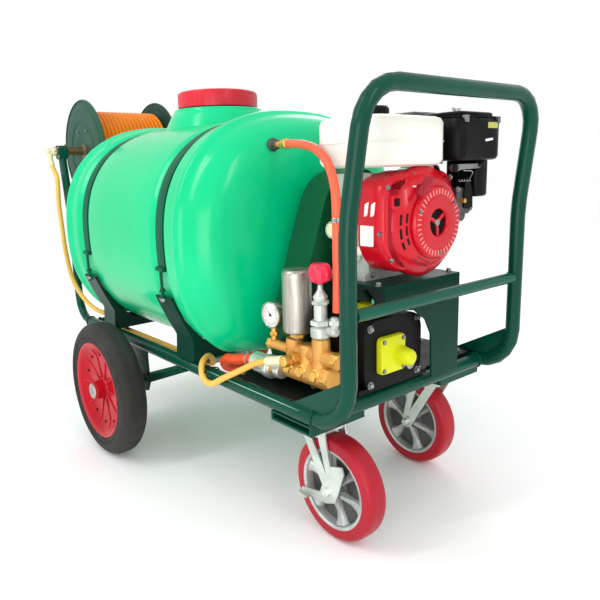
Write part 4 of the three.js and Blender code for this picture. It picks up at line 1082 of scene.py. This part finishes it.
# ---- road wheels ----
def make_road_wheel(name, side):
    centre = Vector((WHEEL.x, side * WHEEL.y, WHEEL.z))
    body = "road_wheel_" + name
    tyre = Shape("tyre_grey")
    half = [(192.7, 0), (192.6, 12), (190, 22), (184, 30), (176, 36), (166, 39), (158, 38.6), (157, 36.4),
            (152, 36.4), (150, 38), (142, 36), (139, 33)]
    outer = smooth_path(half[:7], 3)[:-1] + half[6:]
    tyre.lathe(outer + [(138.6, 0)] + flanked(reversed(outer[1:]), -1), "y", centre, 120, closed=True)
    tyre.piece("tyre_" + name, ["road_tyre_" + name], body, crease=50)

    rim = Shape("rim_red")
    out = rounded([(26, 12), (34, 10), (96, 12), (112, 20), (122, 27), (128, 31.5), (137.6, 33.5)], 6, 5)
    inner = rounded([(137.6, -33.5), (128, -31.5), (122, 8), (108, 9), (34, 6), (26, 8)], 5, 4)
    rim.lathe(flanked(out + inner, side), "y", centre, 120, closed=True)
    # The lip and the ribs on the dish take the lighter copy of the rim paint: a painted highlight where
    # their edges catch the light.
    lip = rounded([(131, 31.8), (134, 35), (138, 36.6), (140.4, 34), (138, 30)], 1.5, 3)
    rim.lathe(flanked(lip, side), "y", centre, 120, "rim_lip", closed=True)
    for _ in rim.around(10, centre, "Y"):
        rim.tube([(27, side * 12.5, 0), (60, side * 12.2, 0), (96, side * 13.4, 0), (118, side * 24, 0)],
                 [2.2, 1.8, 1.8, 1.6], 10, "rim_lip")
        rim.place = rim.place @ Matrix.Rotation(radians(18), 4, "Y")
        rim.disc((103, 0, 0), "y", 4.4, side * 14, side * 16.6, 20, "shadow_black")
    hub = rounded([(34, 10), (28, 16), (25, 40), (22, 43.8), (13.4, 43.8), (13.4, -43.8), (24, -43.8),
                   (26, 8)], 3, 4)
    rim.lathe(flanked(hub, side), "y", centre, 64)
    rim.piece("rim_" + name, ["road_rim_" + name], body, crease=40)

    cap = Shape("polished")
    dome = rounded([(22, 44.2), (22, 47), (16, 49.6), (0.1, 49.9)], 2.5, 4)
    cap.lathe(flanked(dome, side), "y", centre, 48)
    cap.piece("hub_cap_" + name, crease=40)


# ---- swivel casters ----
def make_caster(name, side):
    turn = Matrix.Rotation(pi if side > 0 else 0, 4, "Z")
    place = Matrix.Translation((CASTER_X, side * CASTER_Y, 0)) @ turn
    hub = place @ Vector((CASTER_TRAIL, 0, CASTER_R))
    wheel = Shape("rim_metal")
    tread = rounded([(88, 26), (110, 26), (116, 21), (118, 12), (118, -12), (116, -21), (110, -26),
                     (88, -26)], 4, 4)
    wheel.lathe(tread, "y", hub, 112, "tread_red", closed=True)
    barrel = rounded([(83, 25), (88, 26.6), (90.5, 26.6), (90.5, -26.6), (88, -26.6), (83, -25), (81, -8),
                      (81, 8)], 1.5, 3, closed=True)
    wheel.lathe(barrel, "y", hub, 112, closed=True)
    # The web between the spokes is drawn dark: painted shade for the recesses, on what is the same light
    # cast hub.
    web = rounded([(9, 27), (17, 27), (22, 16), (28, 6), (82, 6), (82, -6), (28, -6), (22, -16), (17, -27),
                   (9, -27)], 3, 3, closed=True)
    wheel.lathe(web, "y", hub, 80, "cast_dark", closed=True)
    for flank in (-1, 1):
        for i in range(6):
            wheel.place = spun(hub, "Y", tau * i / 6 + 0.3)
            rings = []
            for r, wide, high in ((15, 8, 26), (30, 7, 22), (52, 9, 15), (72, 15, 15), (84, 21, 21)):
                rings.append([(r, flank * h, w) for h, w in ((5, -wide), (high - 2, -wide * 0.72),
                                                             (high, -wide * 0.5), (high, wide * 0.5),
                                                             (high - 2, wide * 0.72), (5, wide))])
            wheel.loft(rings)
        wheel.place = Matrix.Identity(4)
    wheel.piece("caster_tyre_" + name, ["caster_wheel_" + name], f"caster_{name}_roller",
                crease=40)

    fork = Shape("zinc")
    fork.place = place
    for out in (-1, 1):
        reach = 40.4 if out < 0 and side < 0 else 36.2 if out > 0 else 40.2
        fork.bolt((CASTER_TRAIL, out * 33.4, CASTER_R), "y", 21, out, "zinc")
        fork.lathe([(4, out * 40), (4, out * min(reach, 40.6)), (0.1, out * min(reach, 40.8))], "y",
                   (CASTER_TRAIL, 0, CASTER_R), 16)
    race = rounded([(30, 249), (44, 251), (46, 254), (43, 256), (46, 258.6), (43, 262), (30, 262)], 1.4, 3)
    fork.lathe(race, "z", (0, 0, 0), 56)
    fork.disc((0, 0, 0), "z", 45.6, 255.4, 256.4, 56, "bolt_steel")
    fork.lathe([(7, 242), (7, 239), (5, 237.6)], "z", (0, 0, 0), 6, "bolt_steel")
    fork.piece("caster_bearing_" + name, body="caster_" + name, bevel=0.4)


def make_brake():
    tread = Shape("zinc")
    hub = Vector((CASTER_X + CASTER_TRAIL, -CASTER_Y, CASTER_R))
    for k in range(6):
        tread.tube([hub + Vector((-82 + 5 * k, -51, -28.6)), hub + Vector((-82 + 5 * k, -36, -28.6))], 1.6,
                   8)
    tread.piece("brake_tread", body="caster_left_brake", crease=60)


for wheel_name, wheel_side in SIDES:
    make_road_wheel(wheel_name, wheel_side)
    make_caster(wheel_name, wheel_side)
make_brake()


# ---- belt guard ----
def make_guard_details():
    guard = Shape()
    for x in (386.4, 474.6):
        for centre, radius in ((SHAFT, 108), (PUMP_SHAFT, 108)):
            for i in range(4):
                t = tau * (i + 0.4) / 4
                spot = (x, centre.y + radius * cos(t), centre.z + radius * sin(t))
                if abs(spot[2] - 545) > 60:
                    guard.bolt(spot, "x", 9, -1 if x < 400 else 1)
    guard.piece("guard_bolts", bevel=0.4)


make_guard_details()


# ---- finishes of the CAD nodes that stay ----
# Each look and soft edge goes to the nodes whose names start as listed.
CAD_LOOKS = {
    "frame_green": ("handle_hoop", "side_rail", "reel_post", "handle_cross_rail", "reel_cross_rail",
                    "caster_mount", "axle_bracket"),
    "tube_green": ("crossbar",),
    # The pedestal and saddles get the darker copy of the frame paint, as painted shade.
    "bracket_shaded_green": ("engine_pedestal", "tank_saddle"),
    "guard_green": ("belt_guard",),
    "deck_black": ("deck_plate",),
    "pump_black": ("pump_crankcase",),
    "cast_aluminium": ("engine_crankcase", "cylinder_head", "engine_pulley", "pump_pulley"),
    "bolt_steel": ("axle_shaft", "throttle_lever"),
    "zinc": ("caster_fork", "caster_brake_pedal"),
    "belt_black": ("drive_belt",),
}
SOFT_EDGES = {"caster_fork": 0.8, "caster_brake_pedal": 0.8, "deck_plate": 0.6, "engine_pedestal": 1.0,
              "tank_saddle": 1.5, "pump_crankcase": 3.0, "caster_mount": 1.5}
SMOOTH_UNDER = 38        # degrees between two faces


def smoothing():
    """Merges the imported corners, then shades the flatter edges smooth."""
    group = bpy.data.node_groups.new("smooth_by_angle", "GeometryNodeTree")
    for way in ("INPUT", "OUTPUT"):
        group.interface.new_socket("Geometry", in_out=way, socket_type="NodeSocketGeometry")
    chain = [group.nodes.new(kind) for kind in ("NodeGroupInput", "GeometryNodeRemoveAttribute",
                                                "GeometryNodeMergeByDistance", "GeometryNodeSetShadeSmooth",
                                                "GeometryNodeSetShadeSmooth", "NodeGroupOutput")]
    for before, after in zip(chain, chain[1:]):
        group.links.new(before.outputs[0], after.inputs[0])
    _, forget, merge, _, hard, _ = chain
    forget.inputs["Name"].default_value = "custom_normal"
    merge.inputs["Distance"].default_value = 1e-5
    hard.domain = "EDGE"
    hard.inputs["Shade Smooth"].default_value = False
    angle = group.nodes.new("GeometryNodeInputMeshEdgeAngle")
    sharp = group.nodes.new("FunctionNodeCompare")
    sharp.data_type, sharp.operation = "FLOAT", "GREATER_THAN"
    sharp.inputs[1].default_value = radians(SMOOTH_UNDER)
    group.links.new(angle.outputs["Unsigned Angle"], sharp.inputs[0])
    group.links.new(sharp.outputs[0], hard.inputs["Selection"])
    return group


def dress_cad():
    group = smoothing()
    for look, stems in CAD_LOOKS.items():
        for name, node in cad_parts.items():
            if not name.startswith(stems):
                continue
            node.data.materials.clear()
            node.data.materials.append(LOOKS[look])
            node.modifiers.new("smooth", "NODES").node_group = group
            for stem, width in SOFT_EDGES.items():
                if name.startswith(stem):
                    soften(node, width, 40)


dress_cad()


# ---- floor and light ----
def make_studio():
    mesh = bpy.data.meshes.new("floor")
    mesh.from_pydata([(x, y, -0.0006) for x, y in ((-40, -40), (40, -40), (40, 40), (-40, 40))], [],
                     [(0, 1, 2, 3)])
    mesh.materials.append(LOOKS["floor_white"])
    obj = bpy.data.objects.new("floor", mesh)
    bpy.context.scene.collection.objects.link(obj)

    world = bpy.data.worlds.new("studio")
    world.use_nodes = True
    background = world.node_tree.nodes["Background"]
    background.inputs["Color"].default_value = (1, 1, 1, 1)
    background.inputs["Strength"].default_value = 1.0
    bpy.context.scene.world = world

    for name, at, size, power in (("key", (-0.4, -2.8, 3.2), (0.25, 2.6), 36),
                                  ("handle", (3.4, -0.4, 2.6), (0.3, 1.6), 16),
                                  ("low", (2.0, -2.6, 0.5), (1.8, 1.8), 34),
                                  ("back", (-2.2, 2.8, 2.8), (1.6, 1.6), 20)):
        data = bpy.data.lights.new(name, "AREA")
        data.shape = "RECTANGLE"
        data.size, data.size_y = size
        data.energy = power
        light = bpy.data.objects.new(name, data)
        light.location = at
        light.rotation_euler = (Vector((0, 0, 0.5)) - Vector(at)).to_track_quat("-Z", "Y").to_euler()
        bpy.context.scene.collection.objects.link(light)
    bpy.context.scene.view_settings.view_transform = "Standard"


make_studio()
